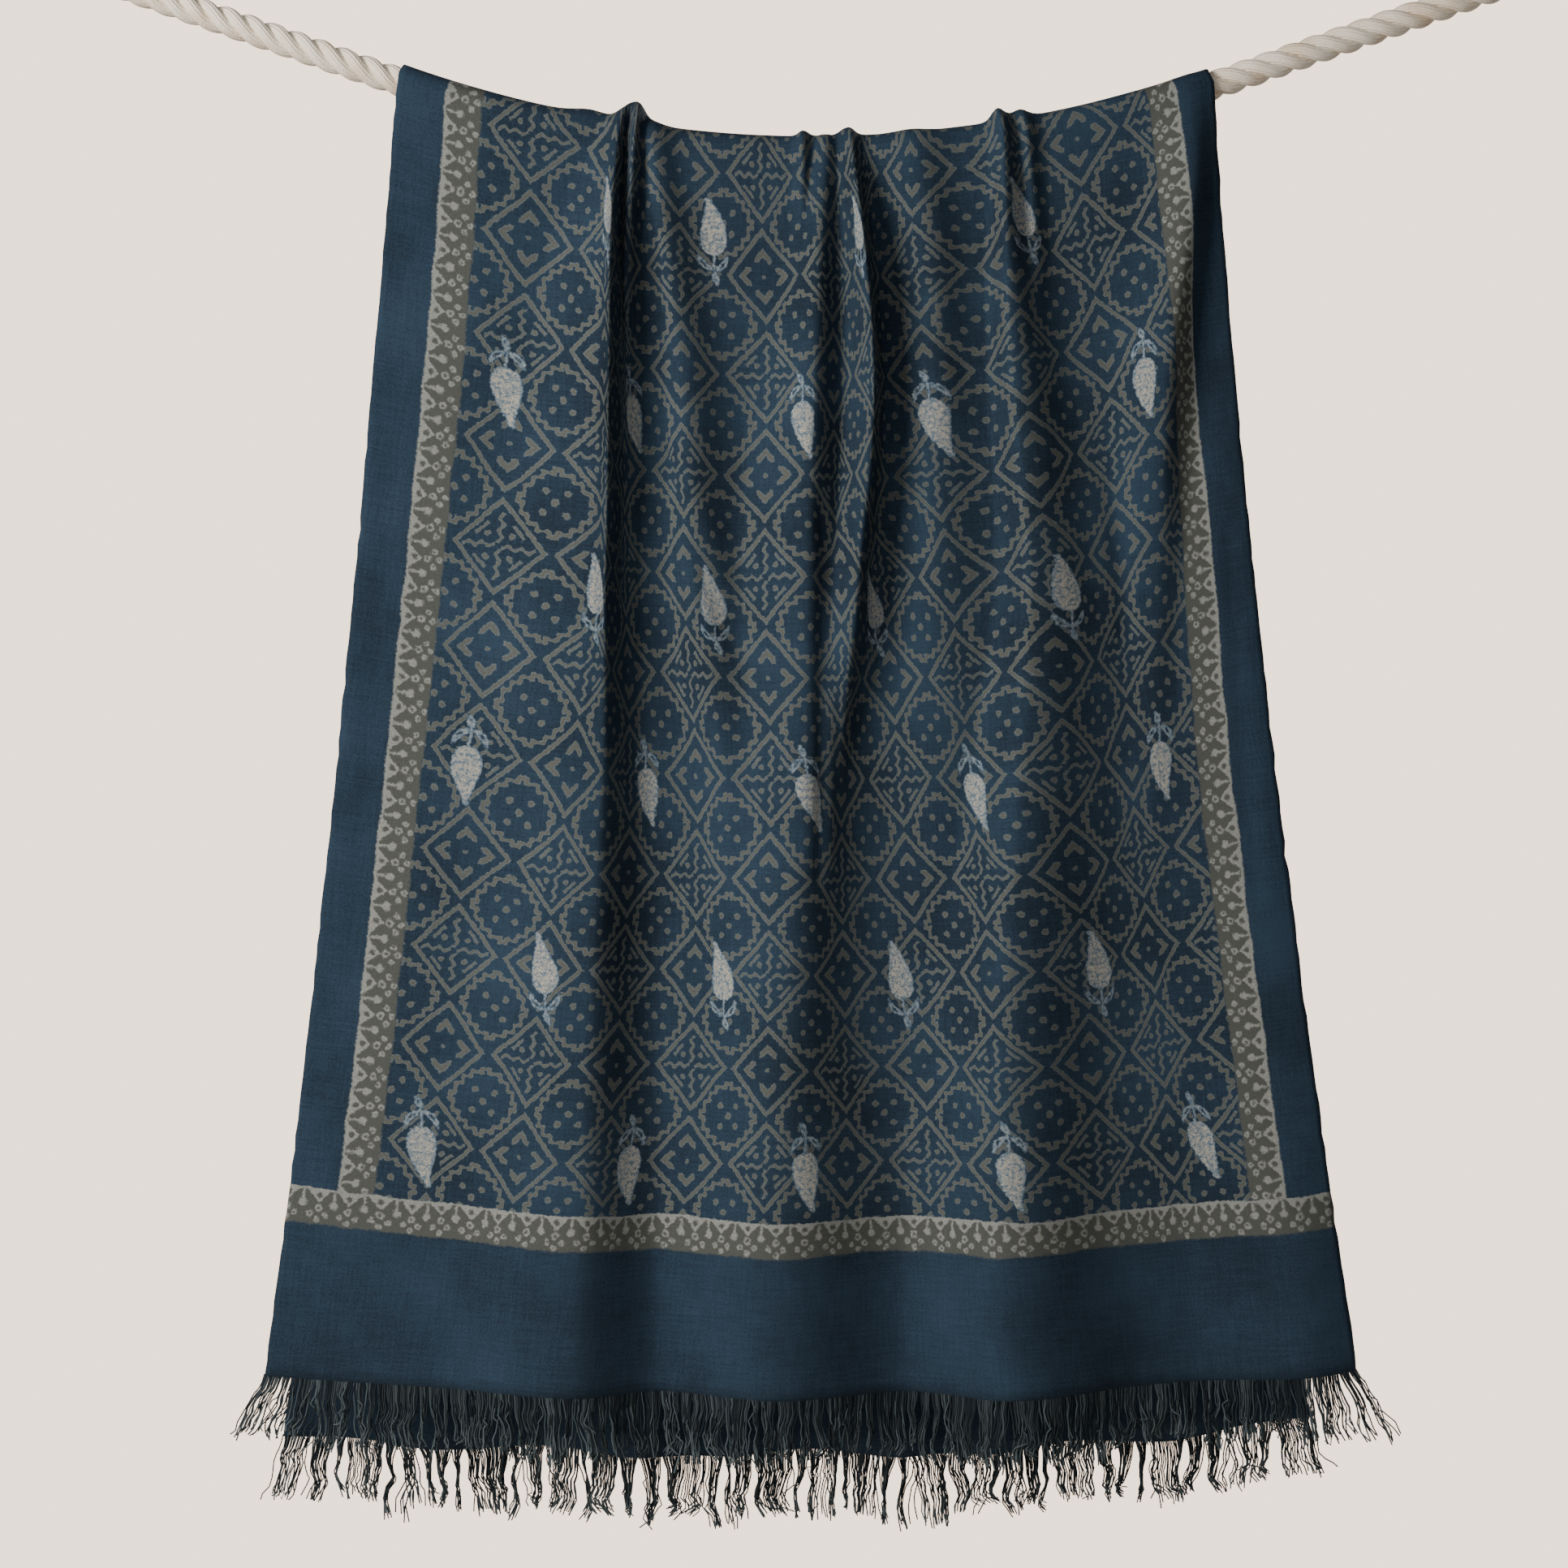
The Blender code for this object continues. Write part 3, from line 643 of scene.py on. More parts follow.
def borderPrint(add, u, v, edge, end):
    # across the band from its pale side, and along it, for side and end borders alike
    isEnd = add("LESS_THAN", (end, block["endPanel"] + block["endBorder"]))
    sideIn = add("SUBTRACT", (edge, block["stripWidth"]))
    endIn = add("SUBTRACT", (block["endPanel"] + block["endBorder"], end))
    across = add("Mix", {0: isEnd, 2: sideIn, 3: endIn})
    along = add("Mix", {0: isEnd, 2: v, 3: u})
    band = lineAt(add, across, block["borderWidth"] / 2, block["borderWidth"] / 2)

    # pale teeth with a grey fleck in each, drops on stalks between them, and rows of dots
    shape, pitch = borderShape, block["borderPitch"]
    step = foldedCell(add, along, 0.0, pitch)[0]
    off = add("ABSOLUTE", (step,))
    tooth = add("MULTIPLY_ADD", (off, shape["toothSlope"], -shape["tooth"]))
    tooth = add("ADD", (tooth, across))
    fleck = dotAt(add, off, across, 0.0, shape["fleckAt"], -shape["fleck"])
    fleck = add("SUBTRACT", (2 * shape["fleck"], fleck))
    tooth = overlap(add, tooth, fleck)
    rim = add("SUBTRACT", (across, shape["rim"]))
    between = add("SUBTRACT", (pitch / 2, off))
    drop = dotAt(add, between, across, 0.0, *shape["drop"])
    stalk = (lineAt(add, between, 0.0, shape["stalkHalf"]), lineAt(add, across, *shape["stalk"]))
    stalk = overlap(add, *stalk)
    dots = joined(add, *[dotAt(add, off, across, share * pitch, *place) for share, *place in shape["dots"]])
    hollow = add("MULTIPLY_ADD", (dots, -1.0, -shape["ring"]))
    dots = overlap(add, dots, hollow)
    return band, joined(add, tooth, rim, drop, stalk, dots)


def plainMaterial(name, colour, roughness):
    material = bpy.data.materials.new(name)
    material.use_nodes = True
    shader = material.node_tree.nodes["Principled BSDF"]
    shader.inputs["Base Color"].default_value = hexColour(colour)
    shader.inputs["Roughness"].default_value = roughness
    shader.inputs["Specular IOR Level"].default_value = 0.2
    return material, material.node_tree, shader


def clothMaterial(name, strength):
    look = cottonLook
    material, tree, shader = plainMaterial(name, look["indigo"], look["roughness"])
    add = partial(addNode, tree)
    place, moved = clothCoordinates(add)
    u, v = add("SeparateXYZ", (moved,)).node.outputs[:2]
    lowered = loweredRows(add, u, v)
    farEdge = add("SUBTRACT", (towel["width"], u))
    farEnd = add("SUBTRACT", (towel["length"], v))
    edge = joined(add, u, farEdge)
    # the end border climbs a little at the left
    climb = add("MapRange", (u, 0.0, 260.0, 6.0, 0.0), interpolation_type="SMOOTHSTEP")
    end = joined(add, add("SUBTRACT", (v, climb)), farEnd)

    # dyed ground: clouded by the vat, grainy where threads took the dye unevenly, faint slubs
    cloud = add("TexNoise", {"Vector": place, "Scale": 0.012, "Detail": 3.0})
    grain = add("TexNoise", {"Vector": place, "Scale": 0.75, "Detail": 3.0, "Roughness": 0.7})
    warpWise = add("VectorMath", (place, (0.55, 0.05, 1.0)), "MULTIPLY")
    weftWise = add("VectorMath", (place, (0.04, 0.6, 1.0)), "MULTIPLY")
    warpSlub = add("TexNoise", {"Vector": warpWise, "Scale": 1.0, "Detail": 3.0})
    weftSlub = add("TexNoise", {"Vector": weftWise, "Scale": 1.0, "Detail": 3.0})
    slub = add("ADD", (warpSlub, weftSlub))
    tone = add("MULTIPLY_ADD", (slub, 0.4, cloud))
    tone = add("MULTIPLY_ADD", (grain, 1.0, tone))
    tone = add("MapRange", (tone, 1.16, 1.64))
    colour = add("Mix", {0: tone, 6: look["indigoDeep"], 7: look["indigo"]}, **asColour)

    # printed field: each line is greyer inside, bluer where its edge took some dye
    lattice = latticePrint(add, u, blockRows(add, lowered))
    mango = mangoPrint(add, u, lowered)
    inField = lineAt(add, edge, towel["width"] / 2, towel["width"] / 2 - block["stripWidth"] - block["borderWidth"])
    fromEnd = add("SUBTRACT", (block["endPanel"] + block["endBorder"], end))
    inField = overlap(add, inField, fromEnd)
    clear = add("SUBTRACT", (0.4, mango))
    lattice = overlap(add, lattice, inField, clear)
    ragged = add("TexNoise", {"Vector": place, "Scale": 0.4, "Detail": 4.0, "Roughness": 0.7})
    ragged = add("SUBTRACT", (ragged, 0.5))
    lattice = add("MULTIPLY_ADD", (ragged, raggedness["lattice"], lattice))
    lines = add("MapRange", (lattice, 0.35, -0.35))
    inner = add("MapRange", (lattice, -0.3, -0.8))
    wearAndSheen = add("TexNoise", {"Vector": place, "Scale": 0.9, "Detail": 4.0, "Roughness": 0.75})
    wearAndSheen = add("MapRange", (wearAndSheen, 0.3, 0.6, 0.45, 1.0))
    lineColour = add("Mix", {0: inner, 6: look["printEdge"], 7: look["printLine"]}, **asColour)
    lines = add("MULTIPLY", (lines, wearAndSheen))
    lines = add("MULTIPLY", (lines, strength * 0.9))
    colour = add("Mix", {0: lines, 6: colour, 7: lineColour}, **asColour)

    # borders
    band, pale = borderPrint(add, u, v, edge, end)
    pale = add("MULTIPLY_ADD", (ragged, raggedness["pale"], pale))
    band = add("MULTIPLY_ADD", (ragged, raggedness["band"], band))
    bandMask = add("MapRange", (band, 0.6, -0.6, 0.0, strength * 0.95))
    bandColour = add("MapRange", (pale, 0.5, -0.6))
    bandColour = add("MULTIPLY", (bandColour, wearAndSheen))
    bandColour = add("Mix", {0: bandColour, 6: look["borderGrey"], 7: look["borderPale"]}, **asColour)
    grainy = add("MapRange", (grain, 0.3, 0.7, 0.8, 1.12))
    bandColour = add("VectorMath", {0: bandColour, "Scale": grainy}, "SCALE")
    colour = add("Mix", {0: bandMask, 6: colour, 7: bandColour}, **asColour)

    # mangoes: resist-pale, a bluer edge, crackled and freckled with the dye
    crackle = add("TexVoronoi", {"Vector": moved, "Scale": 0.2}, feature="DISTANCE_TO_EDGE")
    crackle = add("MapRange", (crackle, 0.0, 0.2, 1.0, 0.0))
    patch = add("TexNoise", {"Vector": place, "Scale": 0.09, "Detail": 2.0})
    patch = add("MapRange", (patch, 0.36, 0.56, 0.1, 1.0))
    crackle = add("MULTIPLY", (crackle, patch))
    freckle = add("MapRange", (grain, 0.36, 0.56, 0.55, 0.0))
    blotch = add("MapRange", (ragged, -0.04, 0.08, 0.0, 0.9))
    crackle = add("MULTIPLY", (crackle, 0.75))
    crackle = overlap(add, crackle, freckle, blotch)
    rim = add("MapRange", (mango, -0.4, -1.6))
    mangoColour = add("Mix", {0: rim, 6: look["mangoEdge"], 7: look["mango"]}, **asColour)
    mangoColour = add("Mix", {0: crackle, 6: mangoColour, 7: look["mangoCrackle"]}, **asColour)
    mango = overlap(add, mango, inField)
    mango = add("MULTIPLY_ADD", (ragged, raggedness["mango"], mango))
    mangoMask = add("MapRange", (mango, 0.4, -0.5, 0.0, strength))
    mangoMask = add("MULTIPLY", (mangoMask, wearAndSheen))
    colour = add("Mix", {0: mangoMask, 6: colour, 7: mangoColour}, **asColour)

    # weave: plain, warp over weft, with the slubs raised
    weave = add("VectorMath", (place, (2 * math.pi / look["threadPitch"],) * 3), "MULTIPLY")
    warp, weft = add("SeparateXYZ", (weave,)).node.outputs[:2]
    warp = add("SINE", (warp,))
    weft = add("SINE", (weft,))
    height = add("MULTIPLY", (warp, weft))
    height = add("MULTIPLY_ADD", (slub, 3.0, height))
    bump = add("Bump", {"Strength": 0.35, "Distance": 0.0002, "Height": height})
    tree.links.new(colour, shader.inputs["Base Color"])
    tree.links.new(bump, shader.inputs["Normal"])
    return material


def makeCloth():
    grid, threads, lengths = drapedGrid()
    grid = frayedEdges(pressCreases(grid, threads, lengths), threads)
    rows, columns = grid.shape[:2]
    faces = []
    for r in range(rows - 1):
        for c in range(columns - 1):
            first = r * columns + c
            faces.append((first, first + 1, first + columns + 1, first + columns))
    cloth = meshObject("printed_cloth", toFrame(grid.reshape(-1, 3)), faces)
    mapLayer = cloth.data.uv_layers.new(name="clothMap")
    flatU = np.tile(threads / towel["width"], rows)
    flatV = np.repeat(lengths / towel["length"], columns)
    corners = np.empty(len(cloth.data.loops), np.int64)
    cloth.data.loops.foreach_get("vertex_index", corners)
    mapLayer.data.foreach_set("uv", np.stack((flatU[corners], flatV[corners]), axis=1).ravel())
    cloth.data.shade_smooth()
    solidify = cloth.modifiers.new("woven thickness", "SOLIDIFY")
    solidify.thickness = towel["thickness"] * mm
    solidify.offset = 0.0
    solidify.use_quality_normals = True
    solidify.material_offset = 1
    solidify.material_offset_rim = 1
    cloth.data.materials.append(clothMaterial("indigo_cotton_printed", 1.0))
    cloth.data.materials.append(clothMaterial("indigo_cotton_reverse", 0.25))
    return cloth, grid[0], grid[-1]


cloth, frontHem, backHem = makeCloth()
print("towel: cloth draped,", len(cloth.data.polygons), "faces")


# undyed cotton rope, three strands laid together, slightly fuzzy
# its darker colour serves stains and fuzz, and the painted shade in the grooves between yarns
ropeLook = dict(cotton="#fdf8ee", shade="#ead9c2", roughness=0.95, yarnsAround=12.0)

# the warp left long at both ends, dyed with the cloth; its colour is painted darker near the hem as painted shade,
# and paler at the tips as a painted sheen
fringeLook = dict(root="#161f28", middle="#202930", tip="#56636a", roughness=0.95)

# fringe yarns, in mm; their roots lie a little above the hem
rootRise = 1.2
frontFringe = dict(
    yarns=840, length=38.0, clumpWidth=11.0, gather=0.55, sway=17.0, curl=9.0, yarnRadius=0.5, flare=24.0, seed=11
)
backFringe = dict(
    yarns=700, length=38.0, clumpWidth=16.0, gather=0.8, sway=22.0, curl=8.0, yarnRadius=0.5, flare=14.0, seed=23
)


def newTree(name, inputs):
    tree = bpy.data.node_groups.new(name, "GeometryNodeTree")
    tree.interface.new_socket("Geometry", in_out="INPUT", socket_type="NodeSocketGeometry")
    tree.interface.new_socket("Geometry", in_out="OUTPUT", socket_type="NodeSocketGeometry")
    for label, kind in inputs.items():
        tree.interface.new_socket(label, in_out="INPUT", socket_type="NodeSocket" + kind)
    return tree, tree.nodes.new("NodeGroupInput").outputs


def grow(name, points, tree, values):
    # the tree runs on a line of points, and its result becomes a plain mesh
    line = bpy.data.meshes.new(name + "_line")
    line.from_pydata([tuple(p) for p in points], [(k, k + 1) for k in range(len(points) - 1)], [])
    base = bpy.data.objects.new(name + "_line", line)
    bpy.context.scene.collection.objects.link(base)
    modifier = base.modifiers.new(name, "NODES")
    modifier.node_group = tree
    for item in tree.interface.items_tree:
        if item.in_out == "INPUT" and item.name in values:
            modifier[item.identifier] = values[item.name]
    grown = base.evaluated_get(bpy.context.evaluated_depsgraph_get())
    mesh = bpy.data.meshes.new_from_object(grown)
    bpy.data.objects.remove(base, do_unlink=True)
    piece = bpy.data.objects.new(name, mesh)
    bpy.context.scene.collection.objects.link(piece)
    return piece


def fringeMaterial():
    look = fringeLook
    material, tree, shader = plainMaterial("dyed_cotton_yarn", look["middle"], look["roughness"])
    add = partial(addNode, tree)
    along = add("Attribute", output=2, attribute_name="alongYarn")
    chance = add("Attribute", output=2, attribute_name="yarnChance")
    # painted shade: the yarns darken from the middle colour to the root colour near the hem
    low = add("MapRange", (along, 0.0, 0.45))
    colour = add("Mix", {0: low, 6: look["root"], 7: look["middle"]}, **asColour)
    # painted sheen: the tips are coloured paler, more on some yarns than on others
    wearAndSheen = add("MapRange", (along, 0.55, 1.0))
    wearAndSheen = add("MULTIPLY_ADD", (wearAndSheen, 0.5, chance))
    wearAndSheen = add("MapRange", (wearAndSheen, 0.35, 1.3))
    colour = add("Mix", {0: wearAndSheen, 6: colour, 7: look["tip"]}, **asColour)
    tree.links.new(colour, shader.inputs["Base Color"])
    return material


def fringeTree():
    tree, given = newTree("fringeYarns", {
        "Yarns": "Int", "Length": "Float", "Clump width": "Float", "Gather": "Float", "Sway": "Float",
        "Curl": "Float", "Yarn radius": "Float", "Flare": "Float", "Seed": "Int", "Material": "Material",
    })
    add = partial(addNode, tree)

    hem = add("GeometryNodeMeshToCurve", {0: given["Geometry"]})
    total = add("GeometryNodeCurveLength", {0: hem})
    roots = add("GeometryNodeCurveToPoints", {0: hem, "Count": given["Yarns"]}, mode="COUNT")
    order = add("GeometryNodeInputIndex")
    chance = add(
        "FunctionNodeRandomValue", {"Min": (0, 0, 0), "Max": (1, 1, 1), "ID": order, "Seed": given["Seed"]},
        data_type="FLOAT_VECTOR"
    )
    chanceX, chanceY = add("SeparateXYZ", (chance,)).node.outputs[:2]
    share = add("DIVIDE", (order, add("SUBTRACT", (given["Yarns"], 1.0))))
    place = add("MULTIPLY", (share, total))

    # uneven clumps: their borders wander along the hem
    wander = add(
        "TexNoise", {"W": add("ADD", (add("MULTIPLY", (place, 37.0)), given["Seed"])), "Scale": 1.0},
        noise_dimensions="1D"
    )
    shift = add("MULTIPLY", (add("SUBTRACT", (wander, 0.5)), 2.6))
    cells = add("ADD", (add("DIVIDE", (place, given["Clump width"])), shift))
    mixed = add("ADD", (cells, add("MULTIPLY", (add("SUBTRACT", (chanceX, 0.5)), 0.35))))
    clump = add("FLOOR", (mixed,))
    centre = add("MULTIPLY", (add("SUBTRACT", (add("ADD", (clump, 0.5)), shift)), given["Clump width"]))
    middle = add("GeometryNodeSampleCurve", {"Curves": hem, "Length": centre}, output="Position", mode="LENGTH")
    position = add("GeometryNodeInputPosition")
    toMiddle = add("VectorMath", (middle, position), "SUBTRACT")
    clumpChance = add(
        "FunctionNodeRandomValue",
        {"Min": (0, 0, 0), "Max": (1, 1, 1), "ID": clump, "Seed": add("ADD", (given["Seed"], 7.0))},
        data_type="FLOAT_VECTOR"
    )
    nearEnd = add("MINIMUM", (place, add("SUBTRACT", (total, place))))
    corner = add("MAXIMUM", (add("SUBTRACT", (1.0, add("DIVIDE", (nearEnd, 0.018)))), 0.0))
    beside = add("MAXIMUM", (add("SUBTRACT", (1.0, add("DIVIDE", (nearEnd, 0.075)))), 0.0))
    flare = add("MULTIPLY_ADD", (corner, 0.6, add("MULTIPLY", (beside, 0.45))))
    flare = add("MULTIPLY", (flare, add("SIGN", (add("SUBTRACT", (share, 0.5)),))))
    flare = add("MULTIPLY", (flare, given["Flare"]))

    traits = (
        ("root", "FLOAT_VECTOR", position), ("order", "FLOAT", order), ("clump", "FLOAT", clump),
        ("toMiddle", "FLOAT_VECTOR", toMiddle), ("clumpChance", "FLOAT_VECTOR", clumpChance),
        ("yarnChance", "FLOAT", chanceX), ("lengthChance", "FLOAT", chanceY), ("flareOut", "FLOAT", flare),
        ("cornerShare", "FLOAT", corner),
    )
    stored = roots
    for name, kind, value in traits:
        stored = add("GeometryNodeStoreNamedAttribute", {0: stored, "Name": name, "Value": value}, data_type=kind)

    straight = add("GeometryNodeCurvePrimitiveLine", {0: (0, 0, 0), 1: (0, 0, -0.001)})
    straight = add("GeometryNodeResampleCurve", {"Curve": straight, "Count": 10})
    yarns = add("GeometryNodeInstanceOnPoints", {"Points": stored, "Instance": straight})
    yarns = add("GeometryNodeRealizeInstances", {0: yarns})

    kept = {
        name: add("GeometryNodeInputNamedAttribute", {"Name": name}, data_type=kind) for name, kind, _ in traits
    }
    t = add("GeometryNodeSplineParameter")
    clumpX, clumpY = add("SeparateXYZ", (kept["clumpChance"],)).node.outputs[:2]
    reach = add("MULTIPLY_ADD", (clumpY, 0.22, 0.80))
    reach = add("MULTIPLY_ADD", (kept["lengthChance"], 0.16, reach))
    reach = add("MULTIPLY", (reach, given["Length"]))
    down = add("CombineXYZ", (0.0, 0.0, add("MULTIPLY", (add("MULTIPLY", (t, reach)), -1.0))))

    gather = add("MULTIPLY", (add("MULTIPLY_ADD", (clumpX, 0.5, 0.6)), given["Gather"]))
    gather = add("MULTIPLY_ADD", (kept["cornerShare"], 0.35, gather))
    gather = add("MULTIPLY", (gather, add("POWER", (t, 0.7))))
    gathered = add("VectorMath", {0: kept["toMiddle"], "Scale": gather}, "SCALE")

    sway = add("MULTIPLY", (given["Sway"], add("POWER", (t, 0.8))))
    stray = add("MULTIPLY_ADD", (add("GREATER_THAN", (kept["yarnChance"], 0.955)), 3.0, 1.0))
    curl = add("MULTIPLY", (add("MULTIPLY", (given["Curl"], t)), stray))
    # whole clumps sway, and each yarn curls: which, its step in the noise, the noise's rate along it, reach
    swings = []
    for which, step, rate, swing in (("clump", 7.31, 2.1, sway), ("order", 3.77, 3.2, curl)):
        place = add("CombineXYZ", (add("MULTIPLY", (kept[which], step)), add("MULTIPLY", (t, rate)), given["Seed"]))
        swung = add("TexNoise", {"Vector": place, "Scale": 1.0, "Detail": 1.0}, output=1)
        swung = add("VectorMath", (swung, (0.5, 0.5, 0.5)), "SUBTRACT")
        swings.append(add("VectorMath", {0: swung, "Scale": swing}, "SCALE"))
    flareOut = add("CombineXYZ", (add("MULTIPLY", (kept["flareOut"], t)), 0.0, 0.0))

    moved = add("VectorMath", (kept["root"], down), "ADD")
    for more in (gathered, *swings, flareOut):
        moved = add("VectorMath", (moved, more), "ADD")
    yarns = add("GeometryNodeSetPosition", {"Geometry": yarns, "Position": moved})
    yarns = add("GeometryNodeStoreNamedAttribute", {0: yarns, "Name": "alongYarn", "Value": t})
    ring = add("GeometryNodeCurvePrimitiveCircle", {"Resolution": 3, "Radius": given["Yarn radius"]})
    mesh = add("GeometryNodeCurveToMesh", {"Curve": yarns, "Profile Curve": ring, "Fill Caps": True})
    mesh = add("GeometryNodeRealizeInstances", {0: mesh})
    mesh = add("GeometryNodeSetMaterial", {0: mesh, "Material": given["Material"]})
    tree.links.new(mesh, tree.nodes.new("NodeGroupOutput").inputs[0])
    return tree


yarnTree = fringeTree()
yarnMaterial = fringeMaterial()


def makeFringe(name, hemRow, made):
    line = toFrame(hemRow + np.array((0, 0, rootRise)))
    return grow(name, line, yarnTree, {
        "Yarns": made["yarns"], "Length": made["length"] * mm, "Clump width": made["clumpWidth"] * mm,
        "Gather": made["gather"], "Sway": made["sway"] * mm, "Curl": made["curl"] * mm,
        "Yarn radius": made["yarnRadius"] * mm, "Flare": made["flare"] * mm, "Seed": made["seed"],
        "Material": yarnMaterial,
    })


fringeInFront = makeFringe("yarn_fringe_front", frontHem, frontFringe)
fringeBehind = makeFringe("yarn_fringe_back", backHem, backFringe)
print("towel: fringes,", len(fringeInFront.data.polygons), len(fringeBehind.data.polygons), "faces")


def ropeTree():
    tree, given = newTree("ropeStrands", {
        "Strands": "Int", "Strand radius": "Float", "Path radius": "Float", "Turns": "Float", "Sides": "Int",
        "Material": "Material",
    })
    add = partial(addNode, tree)

    line = add("GeometryNodeMeshToCurve", {0: given["Geometry"]})
    copies = add(
        "GeometryNodeDuplicateElements", {"Geometry": line, "Amount": given["Strands"]}, domain="SPLINE"
    ).node
    t = add("GeometryNodeSplineParameter")
    tangent = add("GeometryNodeInputTangent")
    side = add("VectorMath", (add("VectorMath", ((0, 1, 0), tangent), "CROSS_PRODUCT"),), "NORMALIZE")
    turn = add("DIVIDE", (copies.outputs["Duplicate Index"], given["Strands"]))
    turn = add("MULTIPLY", (add("MULTIPLY_ADD", (t, given["Turns"], turn)), 2 * math.pi))
    offsets = []
    for way, wave in ((side, "COSINE"), ((0, 1, 0), "SINE")):
        reach = add("MULTIPLY", (add(wave, (turn,)), given["Path radius"]))
        offsets.append(add("VectorMath", {0: way, "Scale": reach}, "SCALE"))
    offset = add("VectorMath", offsets, "ADD")
    strands = add("GeometryNodeSetPosition", {"Geometry": copies.outputs["Geometry"], "Offset": offset})
    ring = add("GeometryNodeCurvePrimitiveCircle", {"Resolution": given["Sides"], "Radius": given["Strand radius"]})
    outwards = add("VectorMath", (add("GeometryNodeInputPosition"),), "NORMALIZE")
    ring = add(
        "GeometryNodeStoreNamedAttribute", {0: ring, "Name": "aroundStrand", "Value": outwards},
        data_type="FLOAT_VECTOR"
    )
    mesh = add("GeometryNodeCurveToMesh", {"Curve": strands, "Profile Curve": ring, "Fill Caps": True})
    mesh = add("GeometryNodeRealizeInstances", {0: mesh})
    mesh = add("GeometryNodeSetShadeSmooth", {0: mesh})
    mesh = add("GeometryNodeSetMaterial", {0: mesh, "Material": given["Material"]})
    tree.links.new(mesh, tree.nodes.new("NodeGroupOutput").inputs[0])
    return tree


def evenlyAlong(path, step):
    along = np.concatenate(((0.0,), np.cumsum(np.linalg.norm(np.diff(path, axis=0), axis=1))))
    places = np.linspace(0, along[-1], int(round(along[-1] / step)))
    return np.stack([np.interp(places, along, path[:, axis]) for axis in range(3)], axis=1), along[-1]


ropeTilt = math.atan(float(ropeSlope(np.array(rope["eyeX"]))))


def ropeCentreLine():
    endX = rope["eyeX"] - rope["eyeHalfLength"] * math.cos(ropeTilt)
    x = np.linspace(-endX, endX, 2001)
    return evenlyAlong(np.stack((x, np.zeros_like(x), ropeHeight(x)), axis=1), rope["step"])


def eyeCentreLine(side):
    # an oval narrowing towards the rope that it is spliced into
    angle = np.linspace(0, 2 * math.pi, 361)
    inward = rope["eyeHalfLength"] * np.cos(angle)
    across = rope["eyeHalfWidth"] * np.sin(angle) * (1 - rope["eyeTaper"] * np.cos(angle))
    x = side * (rope["eyeX"] - inward * math.cos(ropeTilt) + across * math.sin(ropeTilt))
    z = float(ropeHeight(np.array(rope["eyeX"]))) - inward * math.sin(ropeTilt) - across * math.cos(ropeTilt)
    return evenlyAlong(np.stack((x, np.zeros_like(x), z), axis=1), rope["step"])


def ropeMaterial():
    look = ropeLook
    material, tree, shader = plainMaterial("laid_cotton_rope", look["cotton"], look["roughness"])
    add = partial(addNode, tree)
    around = add("Attribute", output=1, attribute_name="aroundStrand")
    across, up = add("SeparateXYZ", (around,)).node.outputs[:2]
    turn = add("ARCTAN2", (up, across))
    place = add("TexCoord", output="Object")
    fuzz = add("TexNoise", {"Vector": place, "Scale": 900.0, "Detail": 3.0})
    stain = add("TexNoise", {"Vector": place, "Scale": 60.0, "Detail": 3.0})
    turn = add("MULTIPLY", (turn, look["yarnsAround"]))
    turn = add("MULTIPLY_ADD", (fuzz, 2.5, turn))
    yarn = add("COSINE", (turn,))
    height = add("MULTIPLY_ADD", (fuzz, 2.0, yarn))
    tone = add("MULTIPLY_ADD", (stain, 1.4, fuzz))
    # painted shade: the colour is darker in the grooves between the yarns
    tone = add("MULTIPLY_ADD", (yarn, 0.14, tone))
    tone = add("MapRange", (tone, 0.85, 1.35))
    colour = add("Mix", {0: tone, 6: look["shade"], 7: look["cotton"]}, **asColour)
    bump = add("Bump", {"Strength": 0.5, "Distance": 0.0005, "Height": height})
    tree.links.new(colour, shader.inputs["Base Color"])
    tree.links.new(bump, shader.inputs["Normal"])
    return material


strandTree = ropeTree()
cottonMaterial = ropeMaterial()
ropeLine, ropeLength = ropeCentreLine()


def makeRope(name, line, turns):
    return grow(name, toFrame(line), strandTree, {
        "Strands": 3, "Strand radius": rope["strandRadius"] * mm,
        "Path radius": (rope["radius"] - rope["strandRadius"]) * mm, "Turns": turns,
        "Sides": rope["strandSides"], "Material": cottonMaterial,
    })


laidRope = makeRope("laid_rope", ropeLine, ropeLength / rope["lay"])
eyeNames = (("rope_eye_left", -1), ("rope_eye_right", 1))
eyes = [makeRope(name, eyeCentreLine(side)[0], rope["eyeTurns"]) for name, side in eyeNames]
print("towel: rope,", len(laidRope.data.polygons), "faces")


# the hem is held by a twined pair of threads before the fringe
hemTwine = dict(rise=0.6, threadRadius=0.3, turnRadius=0.28, turn=3.4, step=0.55, sides=5)


def makeTwine(name, hemRow):
    line, length = evenlyAlong(hemRow + np.array((0, 0, hemTwine["rise"])), hemTwine["step"])
    return grow(name, toFrame(line), strandTree, {
        "Strands": 2, "Strand radius": hemTwine["threadRadius"] * mm, "Path radius": hemTwine["turnRadius"] * mm,
        "Turns": length / hemTwine["turn"], "Sides": hemTwine["sides"], "Material": yarnMaterial,
    })


twines = [makeTwine("hem_twine_front", frontHem), makeTwine("hem_twine_back", backHem)]
print("towel: hems twined")

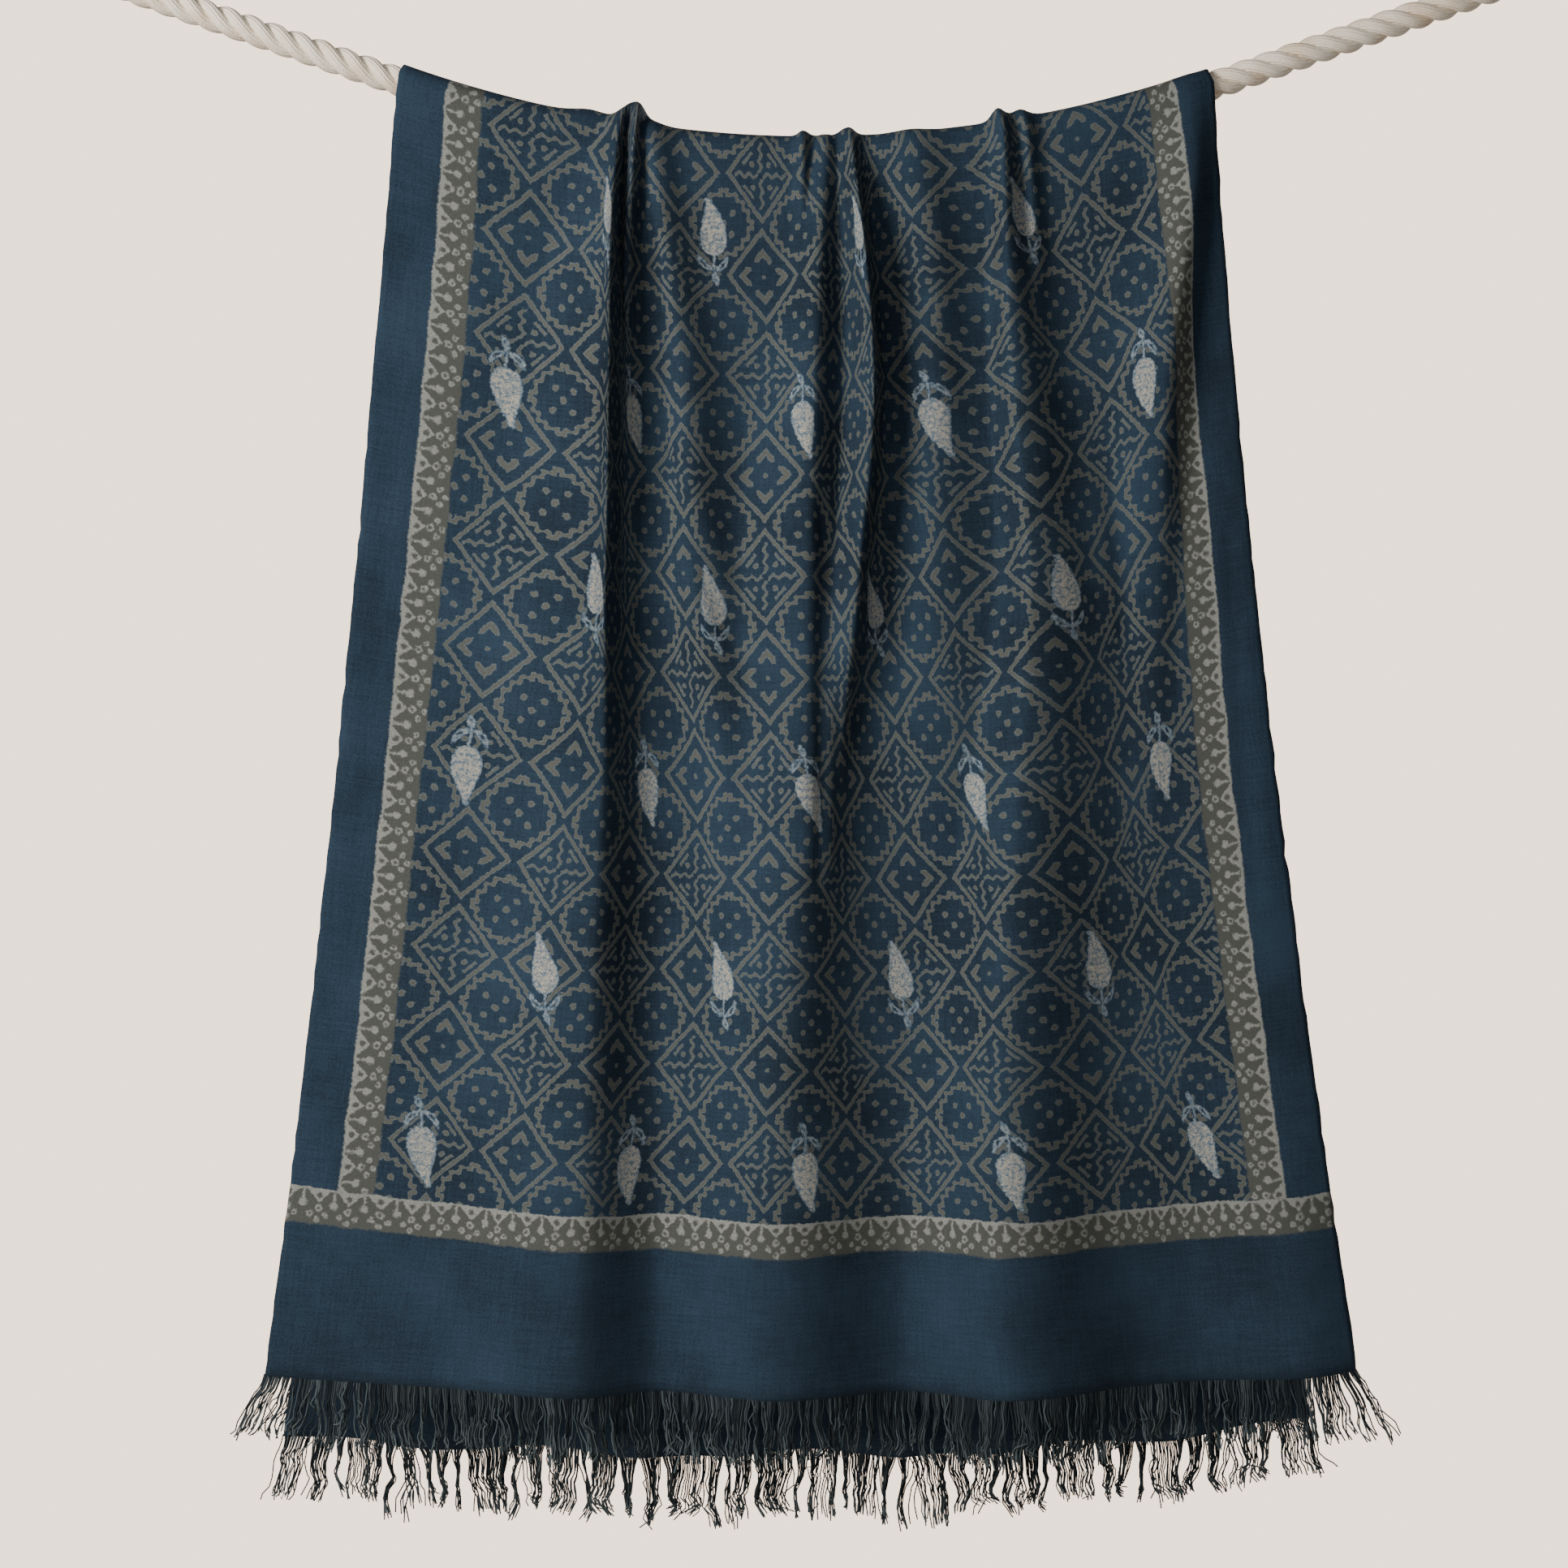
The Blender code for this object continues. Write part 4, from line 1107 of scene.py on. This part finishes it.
room = dict(
    backdrop="#e8d3bf",
    backdropStrength=3.4,
    fill="#d4cec8",
    fillStrength=0.22,
    floor="#d8cfc4",
    floorDrop=1.32,
    floorRadius=1.2,
)


def makeRoom():
    world = bpy.data.worlds.new("studio")
    world.use_nodes = True
    tree = world.node_tree
    add = partial(addNode, tree)
    seen = add("LightPath")
    colour = add("Mix", {0: seen, 6: room["fill"], 7: room["backdrop"]}, **asColour)
    strength = add("MapRange", {"Value": seen, 3: room["fillStrength"], 4: room["backdropStrength"]})
    background = tree.nodes["Background"]
    tree.links.new(colour, background.inputs["Color"])
    tree.links.new(strength, background.inputs["Strength"])
    bpy.context.scene.world = world
    x, y, z = toFrame((0, 0, 0))
    for name, place, aim, size, power, tint in (
        ("window", (x - 1.3, -1.25, z + 0.05), (x + 0.05, 0, z - 0.4), 0.8, 44, "#fff4e8"),
        ("front fill", (x - 0.4, -2.4, z + 0.1), (x, 0, z - 0.45), 1.6, 11, "#fff6ec"),
        ("behind", (x + 0.9, 2.2, z + 0.3), (x, 0, z - 0.45), 1.6, 50, "#ffffff"),
    ):
        data = bpy.data.lights.new(name, "AREA")
        data.size = size
        data.energy = power
        data.color = hexColour(tint)[:3]
        lamp = bpy.data.objects.new(name, data)
        lamp.location = place
        away = np.array(place) - np.array(aim)
        lamp.rotation_euler = (
            math.atan2(math.hypot(away[0], away[1]), away[2]), 0, math.atan2(away[1], away[0]) + math.pi / 2
        )
        bpy.context.scene.collection.objects.link(lamp)
    angles = np.linspace(0, 2 * math.pi, 96, endpoint=False)
    radius, drop = room["floorRadius"], room["floorDrop"]
    rim = [(x + radius * math.cos(a), radius * math.sin(a), z - drop) for a in angles]
    floor = meshObject("floor", rim, [tuple(range(len(rim)))])
    floor.data.materials.append(plainMaterial("floor_paint", room["floor"], 0.8)[0])


makeRoom()

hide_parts("towel_cloth")
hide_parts("front_fringe")
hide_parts("back_fringe")
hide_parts("rope")
for piece in (cloth, fringeInFront, fringeBehind, *twines, laidRope, *eyes):
    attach(piece, "root")
